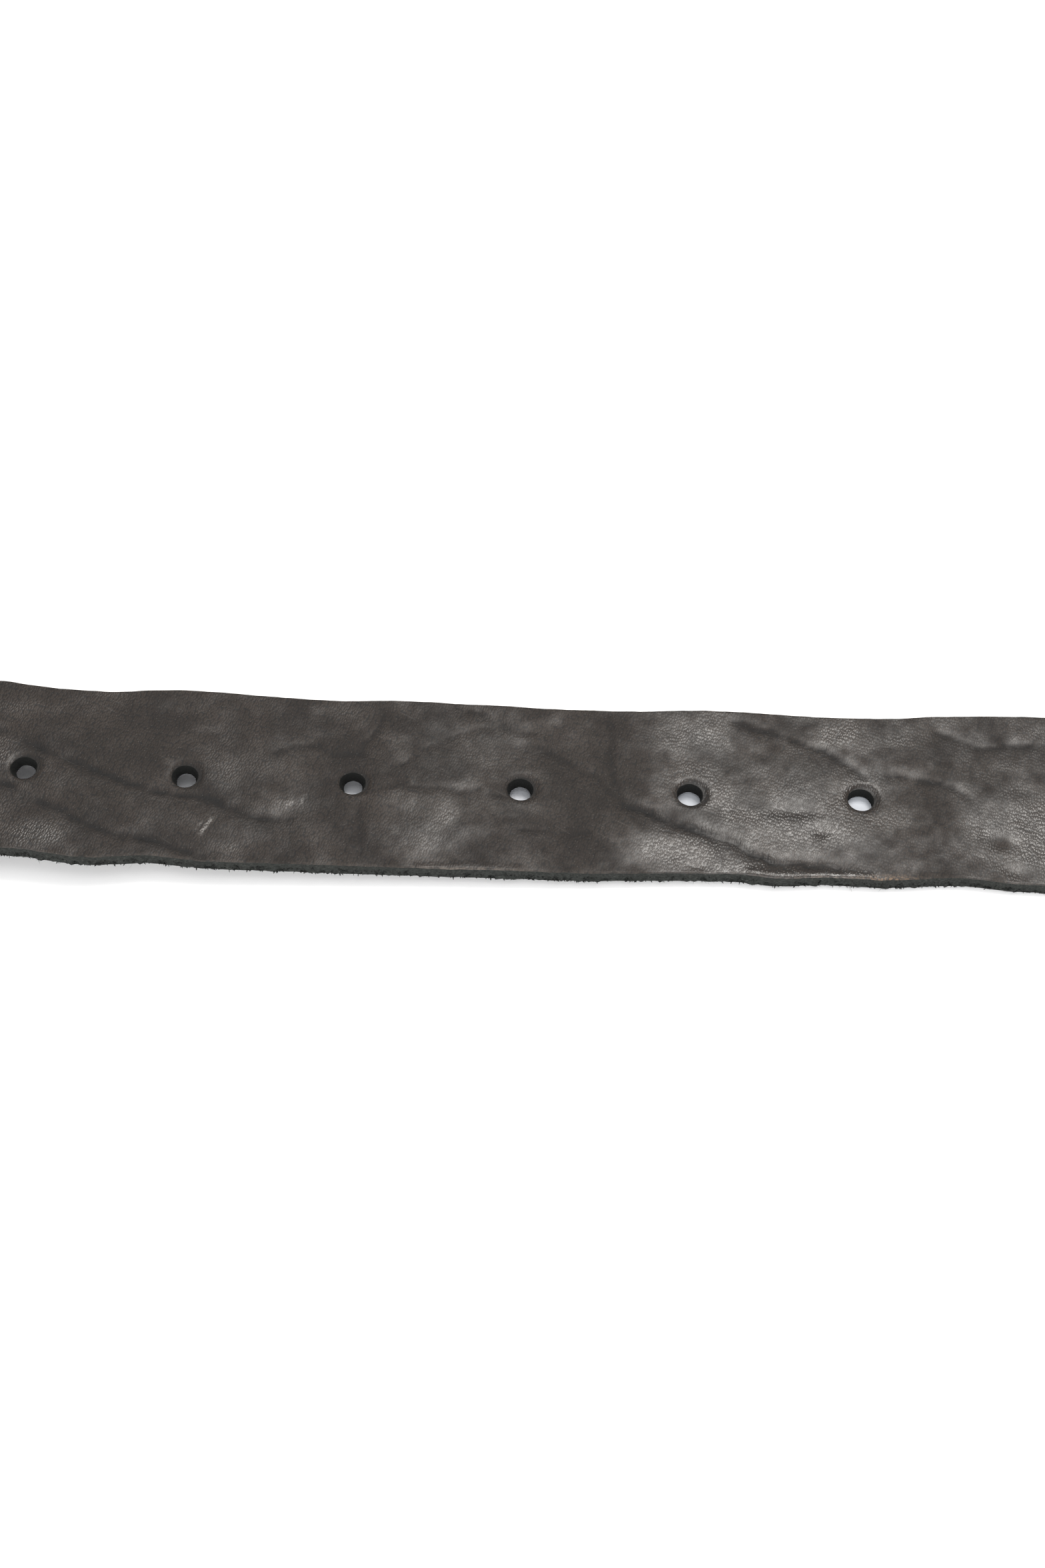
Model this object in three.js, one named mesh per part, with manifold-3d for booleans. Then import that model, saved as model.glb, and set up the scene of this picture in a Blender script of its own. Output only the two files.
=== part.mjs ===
// A roller buckle belt of raw-cut black leather, lying open on its flesh side, in millimetres.
// +X runs from the tip to the buckle, +Y to the strap's far edge, and +Z is up.
// The surface it lies on is z = 0, and the origin is under the middle of the whole belt.

import * as THREE from 'three';
import { mergeVertices } from 'three/addons/utils/BufferGeometryUtils.js';
import Module from 'manifold-3d';

const wasm = await Module();
wasm.setup();

// Driving dimensions of the strap
const strapWidth = 30;
const strapThickness = 2.25;
const tipLength = 24;            // how far the rounded tip takes to reach full width
const tipEndHalfWidth = 1.5;     // the blunt end of the tip
const sizeToMiddleHole = 800;    // from the buckle bar to the middle of the row of holes
const turnUnderLength = 52;      // how far the folded end comes back below the strap

// The row of prong holes, punched by hand, so that its steps differ a little
const tipToFirstHole = 90;
const holeSteps = [23.9, 25.0, 25.1, 25.4, 25.6];
const holeDiameter = 4;
const holeRowOffset = -0.4;      // the row runs this far to the near side of the middle

// The buckle, of one wire, with its roller and prong fixed to it
const wireRadius = 1.75;
const barToRoller = 30;
const rollerRadius = 3.2;
const rollerLength = 28;
const buckleInnerWidth = 31.8;
const prongWidth = 4.4;
const prongThickness = 2.4;
const prongRounding = 0.5;
const prongEyeRadius = 3;

// The keeper loop and the rivets
const keeperThickness = 1.6;
const keeperLength = 12;
const keeperFromBar = 29.75;
const keeperFreeHeight = 4.8;    // room above the strap for the tip to pass
const rivetsFromBar = [18.5, 41];
const rivetStemRadius = 1.5;
const rivetCapRadius = 4;
const rivetCapHeight = 1.3;
const rivetFootHeight = 1.1;

const gap = 0.3;                 // between pieces that touch on the real belt

// Heights and places that follow from the dimensions
const lowerUnderside = keeperThickness + gap;
const upperUnderside = lowerUnderside + strapThickness + gap;
const foldInnerRadius = wireRadius + gap;
const foldMiddleRadius = foldInnerRadius + strapThickness / 2;
const barHeight = upperUnderside - gap / 2;
const rowLength = holeSteps.reduce((sum, step) => sum + step, 0);
const barAlong = tipToFirstHole + rowLength / 2 + sizeToMiddleHole;
const beltLength = barAlong + barToRoller + rollerRadius;
const eyeLength = 14;            // over this stretch the two layers part to hold the bar
const upperTop = upperUnderside + strapThickness;

// The height of the strap's underside along the belt: it arches near the tip and climbs over its folded end
const heights = [
  { along: 0, height: 0 },
  { along: 30, height: 2.7 },
  { along: 62, height: 4.5 },
  { along: 90, height: 4.0 },
  { along: 114, height: 2.6 },
  { along: 139, height: 1.7 },
  { along: 164, height: 1.0 },
  { along: 189, height: 0.5 },
  { along: 215, height: 0.15 },
  { along: 240, height: 0 },
  { along: barAlong - 120, height: 0 },
  { along: barAlong - turnUnderLength - 2, height: upperUnderside },
  { along: barAlong - eyeLength, height: upperUnderside },
  { along: barAlong, height: barHeight + foldInnerRadius },
];

// How far the knife strayed from the straight edges: outwards is more than zero
const strays = [
  { along: 0, far: 0, near: 0 },
  { along: 84, far: 0.6, near: -0.4 },
  { along: 99, far: -0.5, near: 0.7 },
  { along: 114, far: 0.4, near: 0 },
  { along: 137, far: -0.2, near: 0.2 },
  { along: 148, far: 0.2, near: 0.1 },
  { along: 172, far: -0.4, near: 0 },
  { along: 193, far: 0.3, near: -0.6 },
  { along: 212, far: -0.3, near: -0.3 },
  { along: 228, far: 0.3, near: -1.0 },
  { along: 240, far: 0.6, near: -0.2 },
  { along: 270, far: 0, near: 0 },
  { along: barAlong + 20, far: 0, near: 0 },
];

// The main creases in the grain side: their two ends, counted along from the tip and across from the middle
const creases = [
  { fromAlong: 85, fromAcross: 6.6, toAlong: 108, toAcross: -3.1, depth: 0.5, halfWidth: 2.6 },
  { fromAlong: 108, fromAcross: -3.1, toAlong: 133, toAcross: -9.5, depth: 0.4, halfWidth: 2.6 },
  { fromAlong: 86, fromAcross: -3.2, toAlong: 117, toAcross: -14.5, depth: 0.5, halfWidth: 2.4 },
  { fromAlong: 128, fromAcross: 4.6, toAlong: 144, toAcross: 4.0, depth: 0.3, halfWidth: 2.4 },
  { fromAlong: 141, fromAcross: -1.0, toAlong: 161, toAcross: -1.6, depth: 0.3, halfWidth: 2.2 },
  { fromAlong: 176, fromAcross: 14.0, toAlong: 179, toAcross: -1.6, depth: 0.45, halfWidth: 2.4 },
  { fromAlong: 179, fromAcross: -1.6, toAlong: 211, toAcross: -13.3, depth: 0.5, halfWidth: 2.2 },
  { fromAlong: 165, fromAcross: 8.4, toAlong: 179, toAcross: -1.6, depth: 0.35, halfWidth: 2.4 },
  { fromAlong: 196, fromAcross: 12.9, toAlong: 216, toAcross: 3.7, depth: 0.4, halfWidth: 2.4 },
  { fromAlong: 216, fromAcross: 3.7, toAlong: 232, toAcross: 0, depth: 0.35, halfWidth: 2.6 },
  { fromAlong: 226, fromAcross: 12.1, toAlong: 244, toAcross: 9.4, depth: 0.4, halfWidth: 2.6 },
];

const leather = new THREE.MeshStandardMaterial({ color: 0x34302d, roughness: 0.5, metalness: 0 });
const steel = new THREE.MeshStandardMaterial({ color: 0xa3a19c, roughness: 0.34, metalness: 1 });

// A column of a table at any place: a smooth curve through the rows that never overshoots them
function readTable(rows, column, along) {
  const last = rows.length - 1;
  if (along <= rows[0].along) return rows[0][column];
  if (along >= rows[last].along) return rows[last][column];
  const slopeAfter = (i) => (rows[i + 1][column] - rows[i][column]) / (rows[i + 1].along - rows[i].along);
  const tangent = (i) => {
    if (i === 0 || i === last) return 0;
    const before = slopeAfter(i - 1);
    const after = slopeAfter(i);
    return before * after <= 0 ? 0 : (2 * before * after) / (before + after);
  };
  const i = rows.findIndex((row, n) => n < last && along < rows[n + 1].along);
  const span = rows[i + 1].along - rows[i].along;
  const t = (along - rows[i].along) / span;
  const rise = rows[i + 1][column] - rows[i][column];
  const eased = t * t * (3 - 2 * t);
  const bend = t * (1 - t) * (tangent(i) * (1 - t) - tangent(i + 1) * t) * span;
  return rows[i][column] + rise * eased + bend;
}

// How deep the creases press the grain side at a place
function creaseDepth(along, across) {
  let depth = 0;
  for (const fold of creases) {
    const runAlong = fold.toAlong - fold.fromAlong;
    const runAcross = fold.toAcross - fold.fromAcross;
    const offAlong = along - fold.fromAlong;
    const offAcross = across - fold.fromAcross;
    const share = (offAlong * runAlong + offAcross * runAcross) / (runAlong ** 2 + runAcross ** 2);
    const near = THREE.MathUtils.clamp(share, 0, 1);
    const away = Math.hypot(offAlong - near * runAlong, offAcross - near * runAcross);
    depth = Math.max(depth, fold.depth * Math.exp(-((away / fold.halfWidth) ** 2)));
  }
  return depth;
}

const xOf = (along) => along - beltLength / 2;

// Half the strap's width at a place: full, but for the rounded tip
function halfWidth(along) {
  const left = Math.max(0, 1 - along / tipLength);
  return tipEndHalfWidth + (strapWidth / 2 - tipEndHalfWidth) * Math.sqrt(1 - left ** 2);
}

// One cross-section of the strap: the middle of its thickness, and the way its grain side faces
function upperStation(along) {
  const step = 0.01;
  const height = readTable(heights, 'height', along);
  const before = readTable(heights, 'height', along - step);
  const after = readTable(heights, 'height', along + step);
  const slope = (after - before) / (2 * step);
  const grain = new THREE.Vector3(-slope, 0, 1).normalize();
  const x = xOf(along);
  return { along, middle: new THREE.Vector3(x, 0, height + strapThickness / 2), grain };
}

function foldStation(angle) {
  const grain = new THREE.Vector3(Math.sin(angle), 0, Math.cos(angle));
  const bar = new THREE.Vector3(xOf(barAlong), 0, barHeight);
  return { along: barAlong, middle: bar.addScaledVector(grain, foldMiddleRadius), grain };
}

// The folded end mirrors the strap above it in the bar's own height
function lowerStation(along) {
  const above = upperStation(along);
  above.middle.z = 2 * barHeight - above.middle.z;
  above.grain.z *= -1;
  above.along = barAlong;
  return above;
}

// Evenly spaced places from one end to the other, both included
function spread(from, to, steps) {
  return Array.from({ length: steps + 1 }, (_, i) => from + ((to - from) * i) / steps);
}

function strapStations() {
  const tip = spread(0, Math.PI / 2, 8).map((angle) => tipLength * (1 - Math.cos(angle)));
  const flat = [
    ...tip,
    ...spread(tipLength + 8, 80, 6),
    ...spread(82.5, 245, 65),
    ...spread(265, barAlong - 125, 15),
    ...spread(barAlong - 118, barAlong - turnUnderLength - 2, 9),
    ...spread(barAlong - turnUnderLength + 6, barAlong - eyeLength, 4),
    ...spread(barAlong - eyeLength + 2, barAlong - 1.5, 6),
  ].map(upperStation);
  const fold = spread(0, Math.PI, 14).map(foldStation);
  const folded = [
    ...spread(barAlong - 1.5, barAlong - eyeLength + 2, 6),
    ...spread(barAlong - eyeLength, barAlong - turnUnderLength, 5),
  ].map(lowerStation);
  return [...flat, ...fold, ...folded];
}

// A closed slab between a grid of outer points and the same grid of inner points
function slab(outer, inner) {
  const rows = outer.length;
  const columns = outer[0].length;
  const points = [...outer.flat(), ...inner.flat()];
  const innerStart = rows * columns;
  const at = (row, column) => row * columns + column;
  const index = [];
  const quad = (a, b, c, d) => index.push(a, b, c, a, c, d);
  for (let row = 0; row < rows - 1; row += 1) {
    for (let column = 0; column < columns - 1; column += 1) {
      const corners = [at(row, column), at(row + 1, column), at(row + 1, column + 1), at(row, column + 1)];
      quad(...corners);
      quad(...corners.reverse().map((corner) => corner + innerStart));
    }
  }
  const rim = [
    ...spread(0, rows - 2, rows - 2).map((row) => [at(row + 1, 0), at(row, 0)]),
    ...spread(0, rows - 2, rows - 2).map((row) => [at(row, columns - 1), at(row + 1, columns - 1)]),
    ...spread(0, columns - 2, columns - 2).map((column) => [at(0, column), at(0, column + 1)]),
    ...spread(0, columns - 2, columns - 2).map((column) => [at(rows - 1, column + 1), at(rows - 1, column)]),
  ];
  rim.forEach(([a, b]) => quad(a, b, b + innerStart, a + innerStart));
  const geometry = new THREE.BufferGeometry();
  geometry.setFromPoints(points);
  geometry.setIndex(index);
  return geometry;
}

// The strap before anything is punched through it
function strapBlank() {
  const columns = spread(-1, 1, 12);
  const stations = strapStations();
  const grid = (side) => stations.map(({ along, middle, grain }) => columns.map((column) => {
    const stray = readTable(strays, column > 0 ? 'far' : 'near', along) * Math.abs(column);
    const across = column * halfWidth(along) + Math.sign(column) * stray;
    const relief = side > 0 ? creaseDepth(along, across) : 0;
    const point = middle.clone().addScaledVector(grain, side * (strapThickness / 2) - relief);
    point.y = across;
    return point;
  }));
  return slab(grid(1), grid(-1));
}

// A mesh's geometry as a solid that can be joined and cut
function toSolid(geometry) {
  const bare = geometry.clone();
  bare.deleteAttribute('normal');
  bare.deleteAttribute('uv');
  const merged = mergeVertices(bare, 1e-3);
  return new wasm.Manifold(new wasm.Mesh({
    numProp: 3,
    vertProperties: merged.attributes.position.array,
    triVerts: new Uint32Array(merged.index.array),
  }));
}

function toGeometry(solid) {
  const { vertProperties, triVerts } = solid.getMesh();
  const geometry = new THREE.BufferGeometry();
  geometry.setAttribute('position', new THREE.BufferAttribute(vertProperties, 3));
  geometry.setIndex(new THREE.BufferAttribute(triVerts, 1));
  geometry.computeVertexNormals();
  return geometry;
}

// A round punch that stands square to the strap at a place
function punch(radius, along, across, height, sides) {
  const { middle, grain } = upperStation(along);
  const geometry = new THREE.CylinderGeometry(radius, radius, height, sides);
  const turn = new THREE.Quaternion().setFromUnitVectors(new THREE.Vector3(0, 1, 0), grain);
  geometry.applyQuaternion(turn);
  geometry.translate(middle.x, across, middle.z);
  return toSolid(geometry);
}

function holePlaces() {
  const places = [tipToFirstHole];
  holeSteps.forEach((step) => places.push(places[places.length - 1] + step));
  return places;
}

// The long slot in the fold, which the prong stands in
function prongSlot() {
  const slotHalfWidth = prongWidth / 2 + 0.5;
  const slotStart = xOf(barAlong - 10);
  const slotEnd = xOf(barAlong + foldMiddleRadius + strapThickness);
  const outline = new THREE.Shape();
  outline.moveTo(slotEnd, -slotHalfWidth);
  outline.lineTo(slotEnd, slotHalfWidth);
  outline.lineTo(slotStart, slotHalfWidth);
  outline.absarc(slotStart, 0, slotHalfWidth, Math.PI / 2, (3 * Math.PI) / 2, false);
  outline.closePath();
  const depth = 4 * barHeight;
  const geometry = new THREE.ExtrudeGeometry(outline, { depth, bevelEnabled: false, curveSegments: 8 });
  geometry.translate(0, 0, -barHeight);
  return toSolid(geometry);
}

function makeStrap() {
  let strap = toSolid(strapBlank());
  const throughOne = 3 * strapThickness;
  const throughBoth = 6 * strapThickness;
  holePlaces().forEach((along) => {
    strap = strap.subtract(punch(holeDiameter / 2, along, holeRowOffset, throughOne, 24));
  });
  rivetsFromBar.forEach((fromBar) => {
    strap = strap.subtract(punch(rivetStemRadius + gap, barAlong - fromBar, 0, throughBoth, 16));
  });
  return toGeometry(strap.subtract(prongSlot()));
}

// The buckle's wire: a rectangle with round corners
function buckleWire() {
  const side = buckleInnerWidth / 2 + wireRadius;
  const back = xOf(barAlong);
  const front = back + barToRoller;
  const backCorner = 3;
  const frontCorner = 3.8;
  const outline = new THREE.Shape();
  outline.moveTo(back, 0);
  outline.lineTo(back, -side + backCorner);
  outline.absarc(back + backCorner, -side + backCorner, backCorner, Math.PI, 1.5 * Math.PI, false);
  outline.lineTo(front - frontCorner, -side);
  outline.absarc(front - frontCorner, -side + frontCorner, frontCorner, -Math.PI / 2, 0, false);
  outline.lineTo(front, side - frontCorner);
  outline.absarc(front - frontCorner, side - frontCorner, frontCorner, 0, Math.PI / 2, false);
  outline.lineTo(back + backCorner, side);
  outline.absarc(back + backCorner, side - backCorner, backCorner, Math.PI / 2, Math.PI, false);
  outline.lineTo(back, 0);
  const route = new THREE.CurvePath();
  const corners = outline.getPoints(6).map(({ x, y }) => new THREE.Vector3(x, y, barHeight));
  const distinct = corners.filter((point, i) => i === 0 || point.distanceTo(corners[i - 1]) > 0.01);
  distinct.slice(1).forEach((point, i) => route.add(new THREE.LineCurve3(distinct[i], point)));
  return new THREE.TubeGeometry(route, 84, wireRadius, 12, true);
}

// A round bar across the buckle
function crossBar(radius, length, x) {
  const geometry = new THREE.CylinderGeometry(radius, radius, length, 20);
  geometry.translate(x, 0, barHeight);
  return toSolid(geometry);
}

// The prong, from its eye on the bar up on to the roller, with its tip bent a little down beyond it
function prongShank() {
  const back = xOf(barAlong);
  const roller = back + barToRoller;
  const rollerTop = barHeight + rollerRadius;
  const tip = roller + rollerRadius;
  const sunk = 0.1;
  const tipDrop = 1.6;
  const tipRounding = 0.7;
  const outline = new THREE.Shape();
  outline.moveTo(back, barHeight + prongEyeRadius - prongThickness);
  outline.lineTo(roller - 2, rollerTop - sunk);
  outline.lineTo(tip - tipRounding, rollerTop - tipDrop);
  outline.quadraticCurveTo(tip, rollerTop - tipRounding, tip - tipRounding, rollerTop + tipRounding);
  outline.lineTo(roller - 1, rollerTop + prongThickness - 2 * sunk);
  outline.lineTo(back, barHeight + prongEyeRadius);
  outline.closePath();
  const geometry = new THREE.ExtrudeGeometry(outline, {
    depth: prongWidth - 2 * prongRounding,
    bevelThickness: prongRounding,
    bevelSize: prongRounding,
    bevelOffset: -prongRounding,
    bevelSegments: 2,
    curveSegments: 4,
  });
  geometry.rotateX(Math.PI / 2);
  geometry.translate(0, prongWidth / 2 - prongRounding, 0);
  return toSolid(geometry);
}

function makeBuckle() {
  const back = xOf(barAlong);
  return toGeometry(toSolid(buckleWire())
    .add(crossBar(rollerRadius, rollerLength, back + barToRoller))
    .add(crossBar(prongEyeRadius, prongWidth, back))
    .add(prongShank()));
}

// A rectangle with round corners, as a closed outline
function roundedRectangle(outline, halfAcross, low, high, corner) {
  outline.moveTo(-halfAcross + corner, low);
  outline.lineTo(halfAcross - corner, low);
  outline.absarc(halfAcross - corner, low + corner, corner, -Math.PI / 2, 0, false);
  outline.lineTo(halfAcross, high - corner);
  outline.absarc(halfAcross - corner, high - corner, corner, 0, Math.PI / 2, false);
  outline.lineTo(-halfAcross + corner, high);
  outline.absarc(-halfAcross + corner, high - corner, corner, Math.PI / 2, Math.PI, false);
  outline.lineTo(-halfAcross, low + corner);
  outline.absarc(-halfAcross + corner, low + corner, corner, Math.PI, 1.5 * Math.PI, false);
  return outline;
}

// The keeper is a flat band of leather closed round both layers of the strap
function makeKeeper() {
  const sideRoom = 0.4;
  const insideHalf = strapWidth / 2 + sideRoom;
  const insideTop = upperTop + keeperFreeHeight;
  const insideCorner = 0.9;
  const outsideTop = insideTop + keeperThickness;
  const outsideCorner = insideCorner + keeperThickness;
  const inside = roundedRectangle(new THREE.Path(), insideHalf, keeperThickness, insideTop, insideCorner);
  const outsideHalf = insideHalf + keeperThickness;
  const band = roundedRectangle(new THREE.Shape(), outsideHalf, 0, outsideTop, outsideCorner);
  band.holes.push(inside);
  const geometry = new THREE.ExtrudeGeometry(band, {
    depth: keeperLength,
    bevelEnabled: false,
    curveSegments: 5,
  });
  geometry.rotateX(Math.PI / 2);
  geometry.rotateZ(Math.PI / 2);
  geometry.translate(-keeperLength / 2, 0, 0);
  return geometry;
}

// A tubular rivet: a low dome above the strap, its stem, and a flat foot below the folded end
function makeRivet() {
  const foot = lowerUnderside - gap;
  const seat = upperTop + gap;
  const outline = new THREE.Path();
  outline.moveTo(0, foot - rivetFootHeight);
  outline.lineTo(rivetCapRadius - 1, foot - rivetFootHeight);
  outline.lineTo(rivetCapRadius - 0.5, foot);
  outline.lineTo(rivetStemRadius, foot);
  outline.lineTo(rivetStemRadius, seat);
  outline.lineTo(rivetCapRadius, seat);
  outline.quadraticCurveTo(rivetCapRadius - 0.6, seat + rivetCapHeight, 0, seat + rivetCapHeight);
  const geometry = new THREE.LatheGeometry(outline.getPoints(4), 20);
  geometry.rotateX(Math.PI / 2);
  return geometry;
}

function addMesh(group, name, geometry, material, along = null) {
  const mesh = new THREE.Mesh(geometry, material);
  mesh.name = name;
  if (along !== null) mesh.position.x = xOf(along);
  group.add(mesh);
}

const belt = new THREE.Group();
addMesh(belt, 'strap', makeStrap(), leather);
addMesh(belt, 'roller_buckle', makeBuckle(), steel);
addMesh(belt, 'keeper_loop', makeKeeper(), leather, barAlong - keeperFromBar);
addMesh(belt, 'rivet_by_buckle', makeRivet(), steel, barAlong - rivetsFromBar[0]);
addMesh(belt, 'rivet_behind_keeper', makeRivet(), steel, barAlong - rivetsFromBar[1]);

export default belt;
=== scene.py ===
"""The looks of a roller buckle belt that lies open on a pale floor, grain side up, seen close by its holes.

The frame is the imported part's own: +X from the strap's tip to the buckle, +Y to the strap's far edge and
+Z up. Sizes and places are in millimetres until a mesh is made, and in metres from there on. "Along" is
counted from the strap's tip, and "across" from its middle line, unless a table says otherwise.
"""

from __future__ import annotations

import logging
import math
from dataclasses import dataclass
from enum import Enum
from typing import NamedTuple, Sequence

import bpy
import numpy as np
from bpy.types import Material, Node, NodeInputs, NodeSocket, NodeTree, Object
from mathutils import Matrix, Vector
from numpy.typing import NDArray

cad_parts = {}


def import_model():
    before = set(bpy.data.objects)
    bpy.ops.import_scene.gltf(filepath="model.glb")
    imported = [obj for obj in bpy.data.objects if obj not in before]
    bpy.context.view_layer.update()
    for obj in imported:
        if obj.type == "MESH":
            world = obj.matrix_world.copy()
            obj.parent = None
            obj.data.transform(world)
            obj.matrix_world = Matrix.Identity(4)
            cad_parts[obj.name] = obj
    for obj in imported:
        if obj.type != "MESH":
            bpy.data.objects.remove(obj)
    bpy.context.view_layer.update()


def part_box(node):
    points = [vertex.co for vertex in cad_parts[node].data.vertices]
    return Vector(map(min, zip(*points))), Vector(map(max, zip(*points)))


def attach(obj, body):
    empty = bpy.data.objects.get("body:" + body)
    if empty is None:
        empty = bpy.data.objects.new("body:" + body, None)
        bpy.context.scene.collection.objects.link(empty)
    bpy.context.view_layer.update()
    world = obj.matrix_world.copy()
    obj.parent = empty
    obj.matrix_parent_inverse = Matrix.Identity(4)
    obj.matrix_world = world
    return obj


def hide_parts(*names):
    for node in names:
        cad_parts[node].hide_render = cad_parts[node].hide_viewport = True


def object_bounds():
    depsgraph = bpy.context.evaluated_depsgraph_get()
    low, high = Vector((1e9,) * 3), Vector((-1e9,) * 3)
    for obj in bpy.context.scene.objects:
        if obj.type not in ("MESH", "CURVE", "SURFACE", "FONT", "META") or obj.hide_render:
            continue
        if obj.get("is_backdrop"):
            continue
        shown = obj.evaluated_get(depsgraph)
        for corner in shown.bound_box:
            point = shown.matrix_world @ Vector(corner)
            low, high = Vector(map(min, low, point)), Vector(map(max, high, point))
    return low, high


Array = NDArray[np.float64]
Indices = NDArray[np.int64]
Pair = tuple[float, float]
Triple = tuple[float, float, float]
Colour = tuple[float, float, float, float]

MM = 0.001
# The place the camera looks at, in mm from the first hole, from the row of holes and above the floor
CAMERA_AIM = (74.34, 0.794, 3.25)

ALONG, ACROSS, UP = np.eye(3)[:, None]
log = logging.getLogger("belt")


class Slot(Enum):
    """The belt's material slots."""

    STRAP = "strap_leather"
    KEEPER = "keeper_leather"
    BUCKLE = "buckle_steel"
    RIVET = "rivet_steel"


class Side(Enum):
    """Which skin of the leather a face belongs to. The value is the face's place in the material list."""

    GRAIN = 0
    CUT = 1
    FLESH = 2


class Height(NamedTuple):
    """How high the strap's underside lies at a place along it, in mm."""

    along: float
    height: float


class Stray(NamedTuple):
    """How far the knife strayed outwards at a place, counted along from the first hole, in mm."""

    along: float
    out: float


class Line(NamedTuple):
    """A crease, a raised ridge or a scuff.

    Its route is (along from the first hole, across from the row of holes), in mm. Its strength is its depth
    or height in mm, or how far a scuff is rubbed through, from 0 to 1.
    """

    route: tuple[Pair, ...]
    strength: float
    half_width: float


class Hole(NamedTuple):
    """A punched hole: the step from the one before it, and its opening on the flesh side, in mm."""

    step: float
    flesh_radius: float
    flesh_shift: float


class Zone(NamedTuple):
    """A soft-edged patch: its middle, from the first hole and the row, its half sizes and strength."""

    along: float
    across: float
    half_along: float
    half_across: float
    strength: float


class Ripple(NamedTuple):
    """Random unevenness: its strength, its size along and across, in mm, and the seed that picks it."""

    strength: float
    size_along: float
    size_across: float
    seed: int

    def at(self, along: Array, across: Array | float) -> Array:
        """Its value at each place: strength * noise of (along / size along, across / size across)."""
        return self.strength * lattice_noise(along / self.size_along, across / self.size_across, self.seed)


class Softbox(NamedTuple):
    """A soft light: its name, power, width and height, and its place from the target, in watts and mm."""

    name: str
    watts: float
    size: Pair
    offset: Triple
    colour: Triple


class Patchiness(NamedTuple):
    """How noise breaks up a worn place.

    It has so many bumps to a mm. Below the noise gone nothing is left, and above the noise whole all is.
    """

    per_mm: float
    gone: float
    whole: float


HOLES = (
    Hole(0.0, 1.4, 0.4), Hole(23.9, 1.42, 0.4), Hole(25.0, 1.42, 0.36),
    Hole(25.1, 1.55, 0.24), Hole(25.4, 1.74, 0.14), Hole(25.6, 1.86, 0.08),
)

FAR_STRAYS = (
    Stray(-12, 0.3), Stray(-6.1, 0.6), Stray(-0.3, -0.1), Stray(5.4, -0.5), Stray(11.1, -0.5),
    Stray(16.7, 0.1), Stray(22.4, 0.5), Stray(28.1, 0.4), Stray(33.9, 0.1), Stray(45.3, -0.2),
    Stray(56.8, 0.2), Stray(68.2, 0.0), Stray(79.7, -0.4), Stray(91.2, -0.3), Stray(102.6, 0.3),
    Stray(114.1, 0.0), Stray(125.5, -0.3), Stray(131.3, -0.2), Stray(137.0, 0.3), Stray(148.5, 0.6),
    Stray(170, 0.0),
)

NEAR_STRAYS = (
    Stray(-12, -0.2), Stray(-1.1, -0.2), Stray(4.7, 0.3), Stray(10.1, 0.8), Stray(21.0, -0.1),
    Stray(28.8, 0.3), Stray(47.6, 0.2), Stray(61.7, 0.1), Stray(81.1, 0.0), Stray(90.9, -0.3),
    Stray(96.7, -0.6), Stray(105.4, -0.6), Stray(112.0, 0.0), Stray(119.0, -0.4), Stray(126.9, -0.2),
    Stray(138.1, -1.0), Stray(149.1, -0.2), Stray(170, 0.0),
)

CREASES = (
    Line(((-4.6, 7.0), (0.8, 4.3), (11.3, 0.1), (18.1, -2.7), (28.6, -4.5), (32.8, -6.4), (39.8, -7.5)),
         0.3, 0.6),
    Line(((-3.0, -3.0), (7.6, -8.0), (14.2, -10.5), (20.8, -12.4), (27.8, -14.3)), 0.28, 0.6),
    Line(((36.6, 5.4), (40.5, 6.5), (45.7, 5.2), (50.7, 5.2)), 0.16, 0.5),
    Line(((55.8, 3.2), (60.7, 7.1), (64.6, 9.8), (69.6, 11.3)), 0.12, 0.35),
    Line(((51.1, -0.9), (58.5, -0.4), (66.0, -0.9), (71.0, -1.7)), 0.14, 0.5),
    Line(((86.8, 14.5), (87.8, 9.5), (88.0, 2.1), (89.3, -1.5)), 0.16, 0.55),
    Line(((89.3, -1.5), (93.3, -3.8), (96.7, -5.4), (104.0, -8.1), (108.9, -10.9), (113.7, -12.5),
          (120.9, -13.0)), 0.4, 0.5),
    Line(((106.7, 13.4), (112.7, 11.4), (117.7, 9.4), (122.6, 7.0), (126.0, 4.2)), 0.2, 0.55),
    Line(((129.5, 4.3), (136.9, 3.6), (141.6, 0.3)), 0.2, 0.6),
    Line(((137.7, 12.6), (142.5, 10.2), (149.1, 9.7), (153.6, 10.2)), 0.18, 0.55),
    Line(((74.1, 8.3), (80.3, 5.5), (85.8, 2.0), (88.9, -0.9)), 0.2, 0.55),
    Line(((74.5, -7.5), (80.1, -8.1), (84.4, -7.7)), 0.14, 0.5),
    Line(((53.2, 13.7), (51.4, 9.2), (49.7, 4.8)), 0.14, 0.5),
    Line(((63.9, 14.9), (68.0, 13.5), (72.7, 10.8), (75.7, 10.3)), 0.18, 0.5),
    Line(((50.8, -3.1), (50.6, -7.9), (51.0, -12.6)), 0.12, 0.6),
)

DIMPLES = (
    Zone(114.7, -2.6, 3.0, 1.1, 0.2), Zone(118.8, -6.1, 1.4, 1.1, 0.18), Zone(145.2, -7.4, 1.5, 1.2, 0.2),
    Zone(146.6, -12.6, 1.4, 1.0, 0.16), Zone(100.4, -13.5, 1.5, 0.9, 0.14), Zone(21.9, 11.5, 3.2, 1.0, 0.16),
)

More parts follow.
